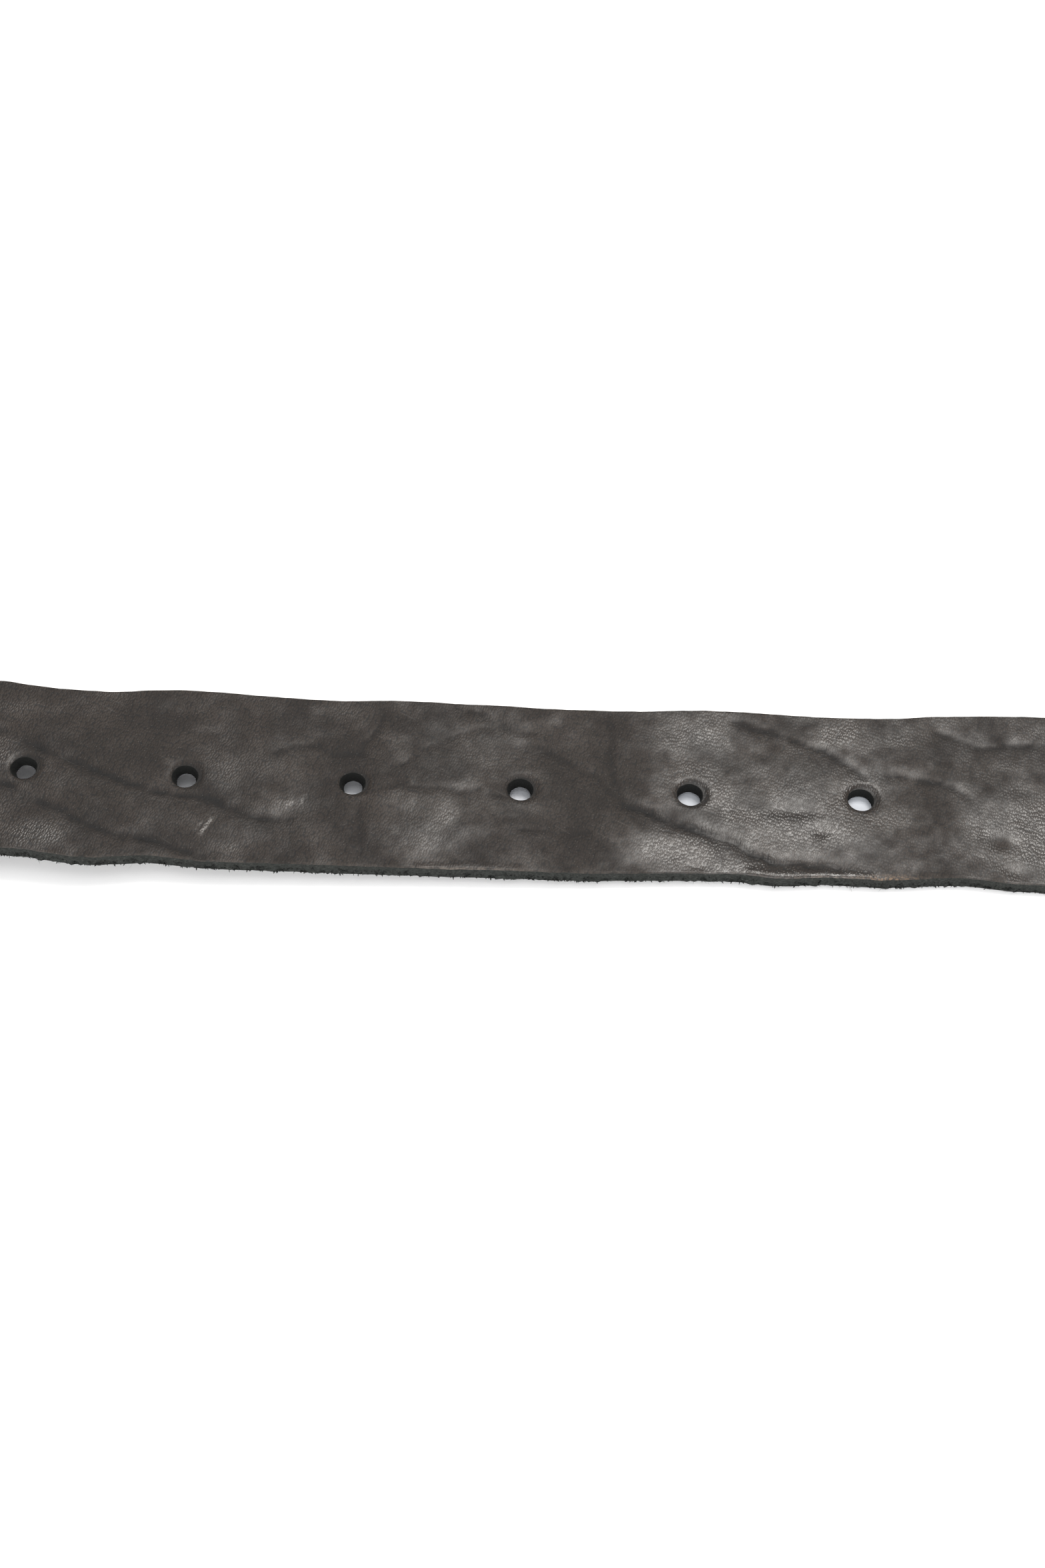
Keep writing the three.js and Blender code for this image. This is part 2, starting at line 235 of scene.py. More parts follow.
GLOSS = (
    Zone(3.7, -11.8, 4.5, 2.2, 0.6), Zone(-3.8, 1.9, 3.0, 2.0, 0.4), Zone(30.0, 0.5, 4.0, 4.0, 0.22),
    Zone(31.5, -11.0, 3.0, 3.0, 0.25), Zone(39.9, -4.9, 3.5, 1.8, 0.35), Zone(61.5, -7.5, 5.5, 4.5, 0.36),
    Zone(67.0, 6.0, 7.0, 7.0, 0.16), Zone(101.5, 11.0, 6.0, 4.0, 0.5), Zone(103.0, -1.0, 5.0, 5.0, 0.45),
    Zone(98.5, -10.5, 7.0, 3.2, 0.95), Zone(116.0, -5.0, 8.5, 4.5, 0.8), Zone(117.0, 2.0, 6.0, 3.5, 0.3),
    Zone(125.5, 2.5, 3.0, 3.0, 0.4), Zone(122.5, 11.5, 5.0, 2.6, 0.35), Zone(133.0, 11.0, 5.0, 3.0, 0.2),
    Zone(142.5, -5.5, 3.5, 4.0, 0.55), Zone(150.5, -6.0, 4.5, 6.0, 1.0), Zone(152.0, 12.5, 4.0, 2.5, 0.3),
    Zone(110.0, 8.5, 6.0, 2.6, -0.2), Zone(145.3, -7.2, 1.8, 1.4, -0.8), Zone(134.5, -3.0, 4.0, 11.0, -0.15),
    Zone(66.5, -14.3, 6.0, 0.5, 0.4), Zone(119.0, -14.0, 5.5, 0.6, 0.9), Zone(107.5, -13.2, 5.0, 1.5, 0.6),
    Zone(84.5, 0.0, 7.0, 16.0, -0.25), Zone(16.0, 6.0, 9.0, 9.0, -0.25), Zone(50.0, 2.0, 5.0, 14.0, -0.15),
)

# Painted highlight zones: the lip's colour is lightened here where the near lip catches the light.
PAINTED_LIP_HIGHLIGHTS = (
    Zone(67.0, 0.0, 7.0, 1.0, 0.9), Zone(119.5, 0.0, 6.0, 1.0, 1.0),
)

RIDGES = (
    Line(((59.5, -14.4), (66.0, -14.2), (74.0, -14.4)), 0.12, 0.45),
    Line(((108.0, -14.0), (114.2, -13.9), (119.0, -13.9), (125.5, -14.2)), 0.2, 0.5),
)

SCUFFS = (
    Line(((27.3, -10.2), (27.8, -9.2), (28.7, -7.5)), 0.9, 0.16),
    Line(((26.5, -9.5), (27.4, -8.1)), 0.3, 0.12),
    Line(((39.6, -4.6), (40.3, -3.9)), 0.3, 0.3),
    Line(((41.6, -3.9), (41.9, -2.7)), 0.4, 0.16),
)

TAN_WEAR = (
    Zone(128.0, -14.5, 3.6, 0.5, 0.4),
)

WHITE = (1.0, 1.0, 1.0)
SOFTBOXES = (
    Softbox("window", 6.0, (400.0, 320.0), (150.0, 345.0, 820.0), (1.0, 0.965, 0.92)),
    Softbox("ceiling", 5.0, (1400.0, 1000.0), (0.0, 60.0, 1150.0), WHITE),
    Softbox("front", 13.0, (1400.0, 800.0), (0.0, -900.0, 500.0), WHITE),
)

CREASE_BENDS_ALONG = (Ripple(0.55, 3.1, 3.1, 21), Ripple(0.22, 0.9, 0.9, 23))
CREASE_BENDS_ACROSS = (Ripple(0.55, 3.1, 3.1, 22), Ripple(0.22, 0.9, 0.9, 24))
CREASE_FADES = (Ripple(0.7, 1.7, 1.7, 25),)
LEATHER_WAVES = (Ripple(0.1, 9.0, 7.0, 31), Ripple(0.045, 3.4, 2.8, 32), Ripple(0.02, 1.2, 1.5, 33))
GLOSS_PATCHES = (Ripple(0.22, 2.6, 2.1, 72), Ripple(0.14, 1.0, 0.9, 73))
GLOSS_ELSEWHERE = (Ripple(0.25, 21.0, 9.0, 71),)


def smooth_through(at: Array, places: Array, values: Array) -> Array:
    """Reads a table at any place, on a smooth curve that never overshoots its rows.

    A row's slope is the harmonic mean of the slopes beside it, or 0 where they turn and at both ends, and
    a cubic with those slopes joins each two rows.

    Args:
        at: The places to read.
        places: The rows' places, rising.
        values: The rows' values.

    Returns:
        The values at those places.
    """
    step = np.diff(places)
    slope = np.diff(values) / step
    product = slope[:-1] * slope[1:]
    same_way = product > 0
    inner = np.where(same_way, 2 * product / np.where(same_way, slope[:-1] + slope[1:], 1.0), 0.0)
    tangent = np.concatenate([[0.0], inner, [0.0]])
    held = np.clip(at, places[0], places[-1])
    row = np.clip(np.searchsorted(places, held, side="right") - 1, 0, len(step) - 1)
    t = (held - places[row]) / step[row]
    eased = t * t * (3 - 2 * t)
    bend = t * (1 - t) * (tangent[row] * (1 - t) - tangent[row + 1] * t) * step[row]
    return values[row] + (values[row + 1] - values[row]) * eased + bend


def eased_step(value: Array, low: float, high: float) -> Array:
    """0 below low, 1 above high, and t * t * (3 - 2 * t) between them."""
    t = np.clip((value - low) / (high - low), 0.0, 1.0)
    return t * t * (3 - 2 * t)


def lattice_noise(x: Array, y: Array, seed: int) -> Array:
    """Smooth random values from -1 to 1, about one bump to a unit.

    Each corner of a lattice of unit squares has a random value, and inside a square its four corners are
    blended by eased shares.

    Args:
        x: First coordinate of each place.
        y: Second coordinate of each place.
        seed: Picks the random values.

    Returns:
        One value for each place.
    """
    size = 256
    corners = np.random.default_rng(seed).uniform(-1, 1, (size, size))
    column = np.floor(x).astype(int)
    row = np.floor(y).astype(int)
    share_x = eased_step(x - column, 0, 1)
    share_y = eased_step(y - row, 0, 1)

    def blended(at_row: Indices) -> Array:
        """Two neighbours in a row of corners, blended by their shares."""
        left = corners[column % size, at_row % size]
        right = corners[(column + 1) % size, at_row % size]
        return left * (1 - share_x) + right * share_x

    return blended(row) * (1 - share_y) + blended(row + 1) * share_y


def ripple_sum(along: Array, across: Array, ripples: Sequence[Ripple]) -> Array:
    """Adds up ripples at each place."""
    return sum(ripple.at(along, across) for ripple in ripples)


def distance_to_route(x: Array, y: Array, route: Sequence[Pair]) -> Array:
    """The distance from each place to the nearest point of a route of straight stretches."""
    nearest = np.full(np.shape(x), np.inf)
    for (x0, y0), (x1, y1) in zip(route, route[1:]):
        run_x, run_y = x1 - x0, y1 - y0
        share = np.clip(((x - x0) * run_x + (y - y0) * run_y) / (run_x**2 + run_y**2), 0, 1)
        nearest = np.minimum(nearest, np.hypot(x - x0 - share * run_x, y - y0 - share * run_y))
    return nearest


def zone_sum(along: Array, across: Array, zones: Sequence[Zone]) -> Array:
    """Adds up soft patches: strength * exp(-(distance in half sizes) ** 2) for each."""
    total = np.zeros(np.shape(along))
    for zone in zones:
        out_along = (along - zone.along) / zone.half_along
        out_across = (across - zone.across) / zone.half_across
        total += zone.strength * np.exp(-(out_along**2 + out_across**2))
    return total


def strongest_line(along: Array, across: Array, lines: Sequence[Line]) -> Array:
    """The strongest line at each place, each strength * exp(-(distance / half width) ** 2)."""
    strongest = np.zeros(np.shape(along))
    for line in lines:
        away = distance_to_route(along, across, line.route) / line.half_width
        strongest = np.maximum(strongest, line.strength * np.exp(-(away**2)))
    return strongest


def cells(stops: Sequence[Pair], start: float) -> Array:
    """Grid lines from start through each stop, evenly spaced before each at about the step it names.

    Args:
        stops: Pairs of (place of the stop, step before it).
        start: The first grid line.

    Returns:
        All the grid lines, start and the last stop among them.
    """
    lines = [np.array([start])]
    place = start
    for stop, step in stops:
        count = max(1, round((stop - place) / step))
        lines.append(np.linspace(place, stop, count + 1)[1:])
        place = stop
    return np.concatenate(lines)


def ring_quads(outer: Indices, inner: Indices) -> Indices:
    """Quads between two closed loops of vertices that run the same way round."""
    return np.stack([outer, np.roll(outer, -1), np.roll(inner, -1), inner], axis=1)


def tube_quads(rows: int, sides: int, closed: bool) -> Indices:
    """Quads of rows that are each a loop of sides, with the last row joined to the first if closed."""
    index = np.arange(rows * sides).reshape(rows, sides)
    following = np.roll(index, -1, axis=0) if closed else index[1:]
    first = index if closed else index[:-1]
    quads = [first, np.roll(first, -1, axis=1), np.roll(following, -1, axis=1), following]
    return np.stack(quads, axis=-1).reshape(-1, 4)


def make_piece(
    name: str,
    points: Array,
    faces: list[list[int]],
    materials: Sequence[Material],
    *,
    face_material: Sequence[int] | None = None,
    uv: Array | None = None,
    attributes: dict[str, Array] | None = None,
    sharp_deg: float = 45.0,
) -> Object:
    """Makes a mesh object whose place is in its mesh.

    Args:
        name: The piece's name.
        points: One row of x, y, z for each vertex, in mm.
        faces: The vertices of each face, counted so that they turn left when seen from outside.
        materials: The object's materials.
        face_material: For each face, its place in materials.
        uv: One row of u, v for each vertex, in mm.
        attributes: Values for each vertex, by name, that the materials read.
        sharp_deg: Edges whose faces turn by more than this angle stay sharp.

    Returns:
        The new object, in the scene.
    """
    mesh = bpy.data.meshes.new(name)
    mesh.from_pydata((points * MM).tolist(), [], faces)
    for material in materials:
        mesh.materials.append(material)
    if face_material is not None:
        mesh.polygons.foreach_set("material_index", np.asarray(face_material, dtype=np.int32))
    if uv is not None:
        corner = np.empty(len(mesh.loops), dtype=np.int32)
        mesh.loops.foreach_get("vertex_index", corner)
        layer = mesh.uv_layers.new(name="leather")
        layer.data.foreach_set("uv", uv[corner].astype(np.float32).ravel())
    for key, values in (attributes or {}).items():
        attribute = mesh.attributes.new(key, "FLOAT", "POINT")
        attribute.data.foreach_set("value", np.asarray(values, dtype=np.float32))
    mesh.polygons.foreach_set("use_smooth", np.ones(len(mesh.polygons), dtype=bool))
    mesh.set_sharp_from_angle(angle=math.radians(sharp_deg))
    mesh.update()
    piece = bpy.data.objects.new(name, mesh)
    bpy.context.scene.collection.objects.link(piece)
    return piece


def dress(piece: Object, slot: Slot, *nodes: str) -> Object:
    """Lets a finished piece ride on the belt, stand for CAD nodes and log its triangles."""
    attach(piece, "root")
    if nodes:
        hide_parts(*nodes)
    triangles = sum(len(face.vertices) - 2 for face in piece.data.polygons)
    log.info("%s: %d triangles", piece.name, triangles)
    return piece


class Sketch:
    """Adds nodes to one node tree and links what is passed to them."""

    def __init__(self, tree: NodeTree) -> None:
        """Keeps the tree that the nodes go into."""
        self.tree = tree

    def add(
        self, kind: str, inputs: dict[str | int, object] | None = None, **settings: object
    ) -> Node:
        """Adds one node.

        Args:
            kind: The node's type.
            inputs: A socket to link, or a constant to set, for each input's name or number.
            settings: The node's own settings.

        Returns:
            The node.
        """
        node = self.tree.nodes.new(kind)
        for name, value in settings.items():
            setattr(node, name, value)
        for key, value in (inputs or {}).items():
            self.feed(node.inputs[key], value)
        return node

    def feed(self, socket: NodeSocket, value: object) -> None:
        """Links value to the socket if it is a socket itself, and otherwise sets it there."""
        if isinstance(value, NodeSocket):
            self.tree.links.new(value, socket)
        else:
            socket.default_value = value

    def math(self, operation: str, *values: object) -> NodeSocket:
        """A Math node's result."""
        return self.add("ShaderNodeMath", dict(enumerate(values)), operation=operation).outputs[0]

    def vector(self, operation: str, first: object, second: object) -> NodeSocket:
        """A Vector Math node's result. To SCALE, the second value is a number."""
        inputs = {0: first, 3 if operation == "SCALE" else 1: second}
        return self.add("ShaderNodeVectorMath", inputs, operation=operation).outputs[0]

    def turned(self, place: object, angle: object) -> NodeSocket:
        """Place, turned about Z by an angle in radians."""
        inputs = {"Vector": place, "Angle": angle}
        return self.add("ShaderNodeVectorRotate", inputs, rotation_type="Z_AXIS").outputs[0]

    def smooth(self, value: object, low: float, high: float) -> NodeSocket:
        """0 where value is below low, 1 above high, and eased between them. Low may be the larger one."""
        inputs = {"Value": value, "From Min": low, "From Max": high}
        return self.add("ShaderNodeMapRange", inputs, interpolation_type="SMOOTHSTEP").outputs[0]

    def span(self, value: object, low: float, high: float) -> NodeSocket:
        """Stretches a value from 0 to 1 so that it runs from low to high."""
        return self.add("ShaderNodeMapRange", {"Value": value, "To Min": low, "To Max": high}).outputs[0]

    def mix(self, share: object, first: object, second: object) -> NodeSocket:
        """The first colour where share is 0, the second where it is 1."""
        return self.add("ShaderNodeMix", {0: share, 6: first, 7: second}, data_type="RGBA").outputs[2]

    def noise(
        self, place: object, scale: float, detail: float = 3.0, rough: float = 0.55
    ) -> NodeSocket:
        """Smooth noise, with scale bumps to a unit of place."""
        inputs = {"Vector": place, "Scale": scale, "Detail": detail, "Roughness": rough}
        return self.add("ShaderNodeTexNoise", inputs).outputs["Fac"]

    def flat_noise(self, place: object, scale: float, detail: float, rough: float) -> Node:
        """A node of smooth noise that doesn't change with height."""
        inputs = {"Vector": place, "Scale": scale, "Detail": detail, "Roughness": rough}
        return self.add("ShaderNodeTexNoise", inputs, noise_dimensions="2D")

    def flat_cells(self, place: object, scale: float, scatter: float) -> Node:
        """A node of scattered cells that don't change with height."""
        inputs = {"Vector": place, "Scale": scale, "Randomness": scatter}
        return self.add("ShaderNodeTexVoronoi", inputs, feature="F1", voronoi_dimensions="2D")

    def attribute(self, name: str) -> NodeSocket:
        """A value that the mesh holds for each vertex."""
        return self.add("ShaderNodeAttribute", attribute_name=name).outputs["Fac"]

    def patchy(self, name: str, place: object, patch: Patchiness) -> NodeSocket:
        """A value that the mesh holds, broken up by noise."""
        noise = self.smooth(self.noise(place, patch.per_mm), patch.gone, patch.whole)
        return self.math("MULTIPLY", self.attribute(name), noise)

    def leather_place(self) -> NodeSocket:
        """The place on the leather, in mm, which follows it round its bends."""
        return self.add("ShaderNodeUVMap", uv_map="leather").outputs[0]

    def object_place(self) -> NodeSocket:
        """The place in the part's frame, in mm."""
        return self.vector("SCALE", self.add("ShaderNodeTexCoord").outputs["Object"], 1 / MM)

    def bump(self, height: object, depth_mm: float) -> NodeSocket:
        """A normal bent by a height from 0 to 1 that stands for depth_mm."""
        inputs = {"Height": height, "Distance": depth_mm * MM, "Strength": 1.0}
        return self.add("ShaderNodeBump", inputs).outputs[0]

    def group(self, tree: NodeTree, inputs: dict[str | int, object]) -> Node:
        """A node of a shader node group."""
        return self.add("ShaderNodeGroup", inputs, node_tree=tree)


class GroupSketch(Sketch):
    """A new shader node group with a place and named numbers coming in, and masks and heights going out."""

    def __init__(self, name: str, numbers: dict[str, float], outputs: Sequence[str]) -> None:
        """Makes the group and its sockets.

        Args:
            name: The group's name.
            numbers: The number sockets that come in, with their usual values.
            outputs: The number sockets that go out.
        """
        tree = bpy.data.node_groups.new(name, "ShaderNodeTree")
        tree.interface.new_socket(name="Place", in_out="INPUT", socket_type="NodeSocketVector")
        for key, value in numbers.items():
            socket = tree.interface.new_socket(name=key, in_out="INPUT", socket_type="NodeSocketFloat")
            socket.default_value = value
        for key in outputs:
            tree.interface.new_socket(name=key, in_out="OUTPUT", socket_type="NodeSocketFloat")
        super().__init__(tree)
        self.inward = self.add("NodeGroupInput").outputs
        self.outward = self.add("NodeGroupOutput").inputs


@dataclass(frozen=True)
class PebbleGrain:
    """The grain: small long domed pebbles that lean, of uneven height, with fine grooves between them.

    Its sizes are in mm, and from scatter on in pebbles or in shares of the grain's depth.
    """

    width: float = 0.34
    length: float = 0.58
    lean_deg: float = 17.0
    sway: float = 0.45
    sways_per_mm: float = 0.6
    scatter: float = 0.72
    dome_reach: float = 0.72
    lowest_dome: float = 0.45
    groove: Pair = (0.35, 0.75)
    ripples_per_pebble: float = 1.3
    ripple_height: float = 0.55

    def build(self) -> NodeTree:
        """Builds the group.

        Returns:
            A group that takes a place in mm and gives the height and how deep in a groove it is.
        """
        lean = math.radians(self.lean_deg)
        numbers = {"Pebble width": self.width, "Pebble length": self.length, "Lean": lean}
        sketch = GroupSketch("pebble_grain", numbers, ["Height", "Groove"])
        place = sketch.inward["Place"]
        sway = sketch.flat_noise(place, self.sways_per_mm, 1.0, 0.5).outputs["Color"]
        centred = sketch.vector("SUBTRACT", sway, (0.5, 0.5, 0.5))
        swayed = sketch.vector("ADD", place, sketch.vector("SCALE", centred, self.sway))
        upright = sketch.turned(swayed, sketch.inward["Lean"])
        sizes = {0: sketch.inward["Pebble width"], 1: sketch.inward["Pebble length"], 2: 1.0}
        size = sketch.add("ShaderNodeCombineXYZ", sizes).outputs[0]
        pebble_place = sketch.vector("DIVIDE", upright, size)
        pebble = sketch.flat_cells(pebble_place, 1.0, self.scatter).outputs
        dome = sketch.smooth(pebble["Distance"], self.dome_reach, 0.0)
        own = sketch.add("ShaderNodeSeparateColor", {0: pebble["Color"]}).outputs[0]
        raised = sketch.math("MULTIPLY", dome, sketch.span(own, self.lowest_dome, 1.0))
        ripple = sketch.flat_noise(pebble_place, self.ripples_per_pebble, 2.0, 0.6).outputs[0]
        height = sketch.math("MULTIPLY_ADD", ripple, self.ripple_height, raised)
        sketch.feed(sketch.outward["Height"], height)
        sketch.feed(sketch.outward["Groove"], sketch.smooth(pebble["Distance"], *self.groove))
        return sketch.tree


@dataclass(frozen=True)
class Wear:
    """Years of use: a slow mottle, fine random scratches and small pale specks."""

    mottle_size: float = 7.0
    mottle: Pair = (0.3, 0.72)
    scratch_turn: float = 0.5
    scratches_per_mm: Triple = (0.16, 2.6, 1.0)
    scratch: Pair = (0.69, 0.76)
    specks_per_mm: float = 0.8
    speck: Pair = (0.075, 0.035)

    def build(self) -> NodeTree:
        """Builds the group.

        Returns:
            A group that takes a place in mm and gives the mottle, the scratches and the specks, from 0 to 1.
        """
        numbers = {"Mottle size": self.mottle_size, "Scratch turn": self.scratch_turn}
        sketch = GroupSketch("wear", numbers, ["Mottle", "Scratches", "Specks"])
        place = sketch.inward["Place"]
        mottles_per_mm = sketch.math("DIVIDE", 1.0, sketch.inward["Mottle size"])
        slow = sketch.noise(sketch.vector("SCALE", place, mottles_per_mm), 1.0)
        sketch.feed(sketch.outward["Mottle"], sketch.smooth(slow, *self.mottle))
        turned = sketch.turned(place, sketch.inward["Scratch turn"])
        drawn = sketch.vector("MULTIPLY", turned, self.scratches_per_mm)
        sketch.feed(sketch.outward["Scratches"], sketch.smooth(sketch.noise(drawn, 1.0, 1.0), *self.scratch))
        speck = sketch.flat_cells(place, self.specks_per_mm, 1.0).outputs[0]
        sketch.feed(sketch.outward["Specks"], sketch.smooth(speck, *self.speck))
        return sketch.tree


@dataclass(frozen=True)
class CutFibres:
    """A raw cut: packed fibres that run with the cut, in uneven layers, and torn pits."""

    fibre_run: float = 0.45
    strands_per_mm: float = 5.5
    strand: Pair = (0.3, 0.7)
    strand_height: float = 0.7
    pits_per_mm: float = 2.4
    pit: Pair = (0.35, 0.6)

    def build(self) -> NodeTree:
        """Builds the group.

        Returns:
            A group that takes a place in mm and gives the height and a tone, from 0 to 1.
        """
        sketch = GroupSketch("cut_fibres", {"Fibre run": self.fibre_run}, ["Height", "Tone"])
        place = sketch.inward["Place"]
        along = sketch.inward["Fibre run"]
        stretch = sketch.add("ShaderNodeCombineXYZ", {0: along, 1: 1.0, 2: 1.0}).outputs[0]
        drawn = sketch.vector("MULTIPLY", place, stretch)
        strands = sketch.noise(drawn, self.strands_per_mm, 5.0, 0.7)
        pits = sketch.smooth(sketch.noise(place, self.pits_per_mm), *self.pit)
        pit_height = sketch.math("MULTIPLY", pits, 1 - self.strand_height)
        height = sketch.math("MULTIPLY_ADD", strands, self.strand_height, pit_height)
        sketch.feed(sketch.outward["Height"], height)
        tone = sketch.math("MULTIPLY", sketch.smooth(strands, *self.strand), pits)
        sketch.feed(sketch.outward["Tone"], tone)
        return sketch.tree


@dataclass(frozen=True)
class Effects:
    """The effects that several finishes share, each a shader node group."""

    pebble: NodeTree
    wear: NodeTree
    fibres: NodeTree

    @classmethod
    def build(cls) -> Effects:
        """Builds each group once."""
        return cls(PebbleGrain().build(), Wear().build(), CutFibres().build())


@dataclass(frozen=True)
class Finish:
    """A material, by its name and the numbers that make it. Each kind paints it in its own way."""

    name: str

    def material(self, effects: Effects) -> Material:
        """Builds the material: a Principled shader that is linked to the output, and what paint feeds it.

        Args:
            effects: The shared effects.

        Returns:
            The material.
        """
        material = bpy.data.materials.new(self.name)
        material.use_nodes = True
        material.node_tree.nodes.clear()
        sketch = Sketch(material.node_tree)
        shader = sketch.add("ShaderNodeBsdfPrincipled")
        sketch.add("ShaderNodeOutputMaterial", {"Surface": shader.outputs[0]})
        self.paint(sketch, shader.inputs, effects)
        return material

    def paint(self, sketch: Sketch, shader: NodeInputs, effects: Effects) -> None:
        """Feeds the shader's inputs."""
        raise NotImplementedError


@dataclass(frozen=True)
class GrainFinish(Finish):
    """Dyed and pressed grain side: dark pebbles, slow mottle, shine by zone, wear at its edges, painted
    shade in creases and round hole rims, and a painted highlight along lit stretches of the lip.
    """

    dark: Colour = (0.0112, 0.0081, 0.0062, 1)
    warm: Colour = (0.0200, 0.0140, 0.0102, 1)
    groove_tone_and_crease_shade: Colour = (0.0050, 0.0046, 0.0044, 1)
    lip_wear_and_highlight: Colour = (0.085, 0.068, 0.056, 1)
    tan: Colour = (0.3, 0.19, 0.11, 1)
    pale: Colour = (0.3, 0.285, 0.27, 1)
    groove_dark: float = 0.9
    scratch_pale: float = 0.04
    speck_pale: float = 0.1
    lip_wear_and_highlight_patches: Patchiness = Patchiness(1.3, 0.38, 0.62)
    tan_patches: Patchiness = Patchiness(2.2, 0.42, 0.6)
    scuff_patches: Patchiness = Patchiness(4.0, 0.35, 0.6)
    crease_dulls: float = 0.5
    mottle_shines: float = 0.25
    groove_dulls: float = 0.15
    shine: Pair = (-0.2, 1.1)
    dull_roughness: float = 0.76
    shiny_roughness: float = 0.22
    gleam: float = 0.34
    most_dressing: float = 0.33
    dressing_roughness: float = 0.3
    pebble_depth_mm: float = 0.062

    def paint(self, sketch: Sketch, shader: NodeInputs, effects: Effects) -> None:
        """Feeds the shader from the "leather" UV map and the mesh's values of wear, painted shade and
        painted highlight.
        """
        place = sketch.leather_place()
        pebble = sketch.group(effects.pebble, {"Place": place}).outputs
        wear = sketch.group(effects.wear, {"Place": place}).outputs
        crease = sketch.attribute("crease")
        grooves = sketch.math("MULTIPLY", pebble["Groove"], self.groove_dark)
        scratches = sketch.math("MULTIPLY", wear["Scratches"], self.scratch_pale)
        specks = sketch.math("MULTIPLY", wear["Specks"], self.speck_pale)
        layers = (
            # Grooves take the grain's own darker tone; the crease value paints shade into creases, valleys
            # and round hole rims.
            (grooves, self.groove_tone_and_crease_shade),
            (crease, self.groove_tone_and_crease_shade),
            # The lip colour is rubbed wear, and a painted highlight where the lip catches the light.
            (sketch.patchy("lip", place, self.lip_wear_and_highlight_patches), self.lip_wear_and_highlight),
            (sketch.patchy("tan", place, self.tan_patches), self.tan),
            (sketch.patchy("scuff", place, self.scuff_patches), self.pale),
            (scratches, self.pale),
            (specks, self.pale),
        )
        colour = sketch.mix(wear["Mottle"], self.dark, self.warm)
        for share, layer in layers:
            colour = sketch.mix(share, colour, layer)
        sketch.feed(shader["Base Color"], colour)
        pressed = sketch.math("MULTIPLY_ADD", crease, -self.crease_dulls, sketch.attribute("gloss"))
        polish = sketch.math("MULTIPLY_ADD", wear["Mottle"], self.mottle_shines, pressed)
        shine = sketch.math("MULTIPLY_ADD", pebble["Groove"], -self.groove_dulls, polish)
        held = sketch.smooth(shine, *self.shine)
        sketch.feed(shader["Roughness"], sketch.span(held, self.dull_roughness, self.shiny_roughness))
        shader["Specular IOR Level"].default_value = self.gleam
        dressing = sketch.math("MULTIPLY", sketch.smooth(polish, 0.0, 1.0), self.most_dressing)
        sketch.feed(shader["Coat Weight"], dressing)
        shader["Coat Roughness"].default_value = self.dressing_roughness
        sketch.feed(shader["Normal"], sketch.bump(pebble["Height"], self.pebble_depth_mm))


@dataclass(frozen=True)
class CutFinish(Finish):
    """The raw cut: matte packed fibres of a dark grey-green, with paler torn ones, and painted shade on the
    walls of the holes.
    """

    deep: Colour = (0.013, 0.0143, 0.013, 1)
    fibre: Colour = (0.03, 0.033, 0.03, 1)
    torn: Colour = (0.066, 0.066, 0.06, 1)
    painted_hole_shade: Colour = (0.007, 0.0075, 0.007, 1)
    tears_per_mm: float = 3.1
    tear: Pair = (0.56, 0.7)
    tear_share: float = 0.5
    roughness: float = 0.93
    gleam: float = 0.25
    depth_mm: float = 0.14

    def paint(self, sketch: Sketch, shader: NodeInputs, effects: Effects) -> None:
        """Feeds the shader from Object coordinates and the mesh's crease value, which is 1 in a hole, where
        the colour is painted darker as shade.
        """
        place = sketch.object_place()
        fibres = sketch.group(effects.fibres, {"Place": place}).outputs
        packed = sketch.mix(fibres["Tone"], self.deep, self.fibre)
        tears = sketch.smooth(sketch.noise(place, self.tears_per_mm, 4.0), *self.tear)
        open_cut = sketch.mix(sketch.math("MULTIPLY", tears, self.tear_share), packed, self.torn)
        # Painted shade: the hole walls take the darker colour.
        sketch.feed(shader["Base Color"], sketch.mix(sketch.attribute("crease"), open_cut, self.painted_hole_shade))
        shader["Roughness"].default_value = self.roughness
        shader["Specular IOR Level"].default_value = self.gleam
        sketch.feed(shader["Normal"], sketch.bump(fibres["Height"], self.depth_mm))


@dataclass(frozen=True)
class FleshFinish(Finish):
    """The flesh side: a short dark nap, brushed every way, over loose fibres."""

    deep: Colour = (0.03, 0.028, 0.026, 1)
    nap: Colour = (0.085, 0.08, 0.074, 1)
    fibre_run: float = 0.8
    mottle_size: float = 11.0
    roughness: float = 0.96
    depth_mm: float = 0.12

    def paint(self, sketch: Sketch, shader: NodeInputs, effects: Effects) -> None:
        """Feeds the shader from the "leather" UV map: half the tone is the nap's and half the fibres'."""
        place = sketch.leather_place()
        fibres = sketch.group(effects.fibres, {"Place": place, "Fibre run": self.fibre_run}).outputs
        wear = sketch.group(effects.wear, {"Place": place, "Mottle size": self.mottle_size}).outputs
        fibre_tone = sketch.math("MULTIPLY", fibres["Tone"], 0.5)
        combed = sketch.math("MULTIPLY_ADD", wear["Mottle"], 0.5, fibre_tone)
        sketch.feed(shader["Base Color"], sketch.mix(combed, self.deep, self.nap))
        shader["Roughness"].default_value = self.roughness
        sketch.feed(shader["Normal"], sketch.bump(fibres["Height"], self.depth_mm))


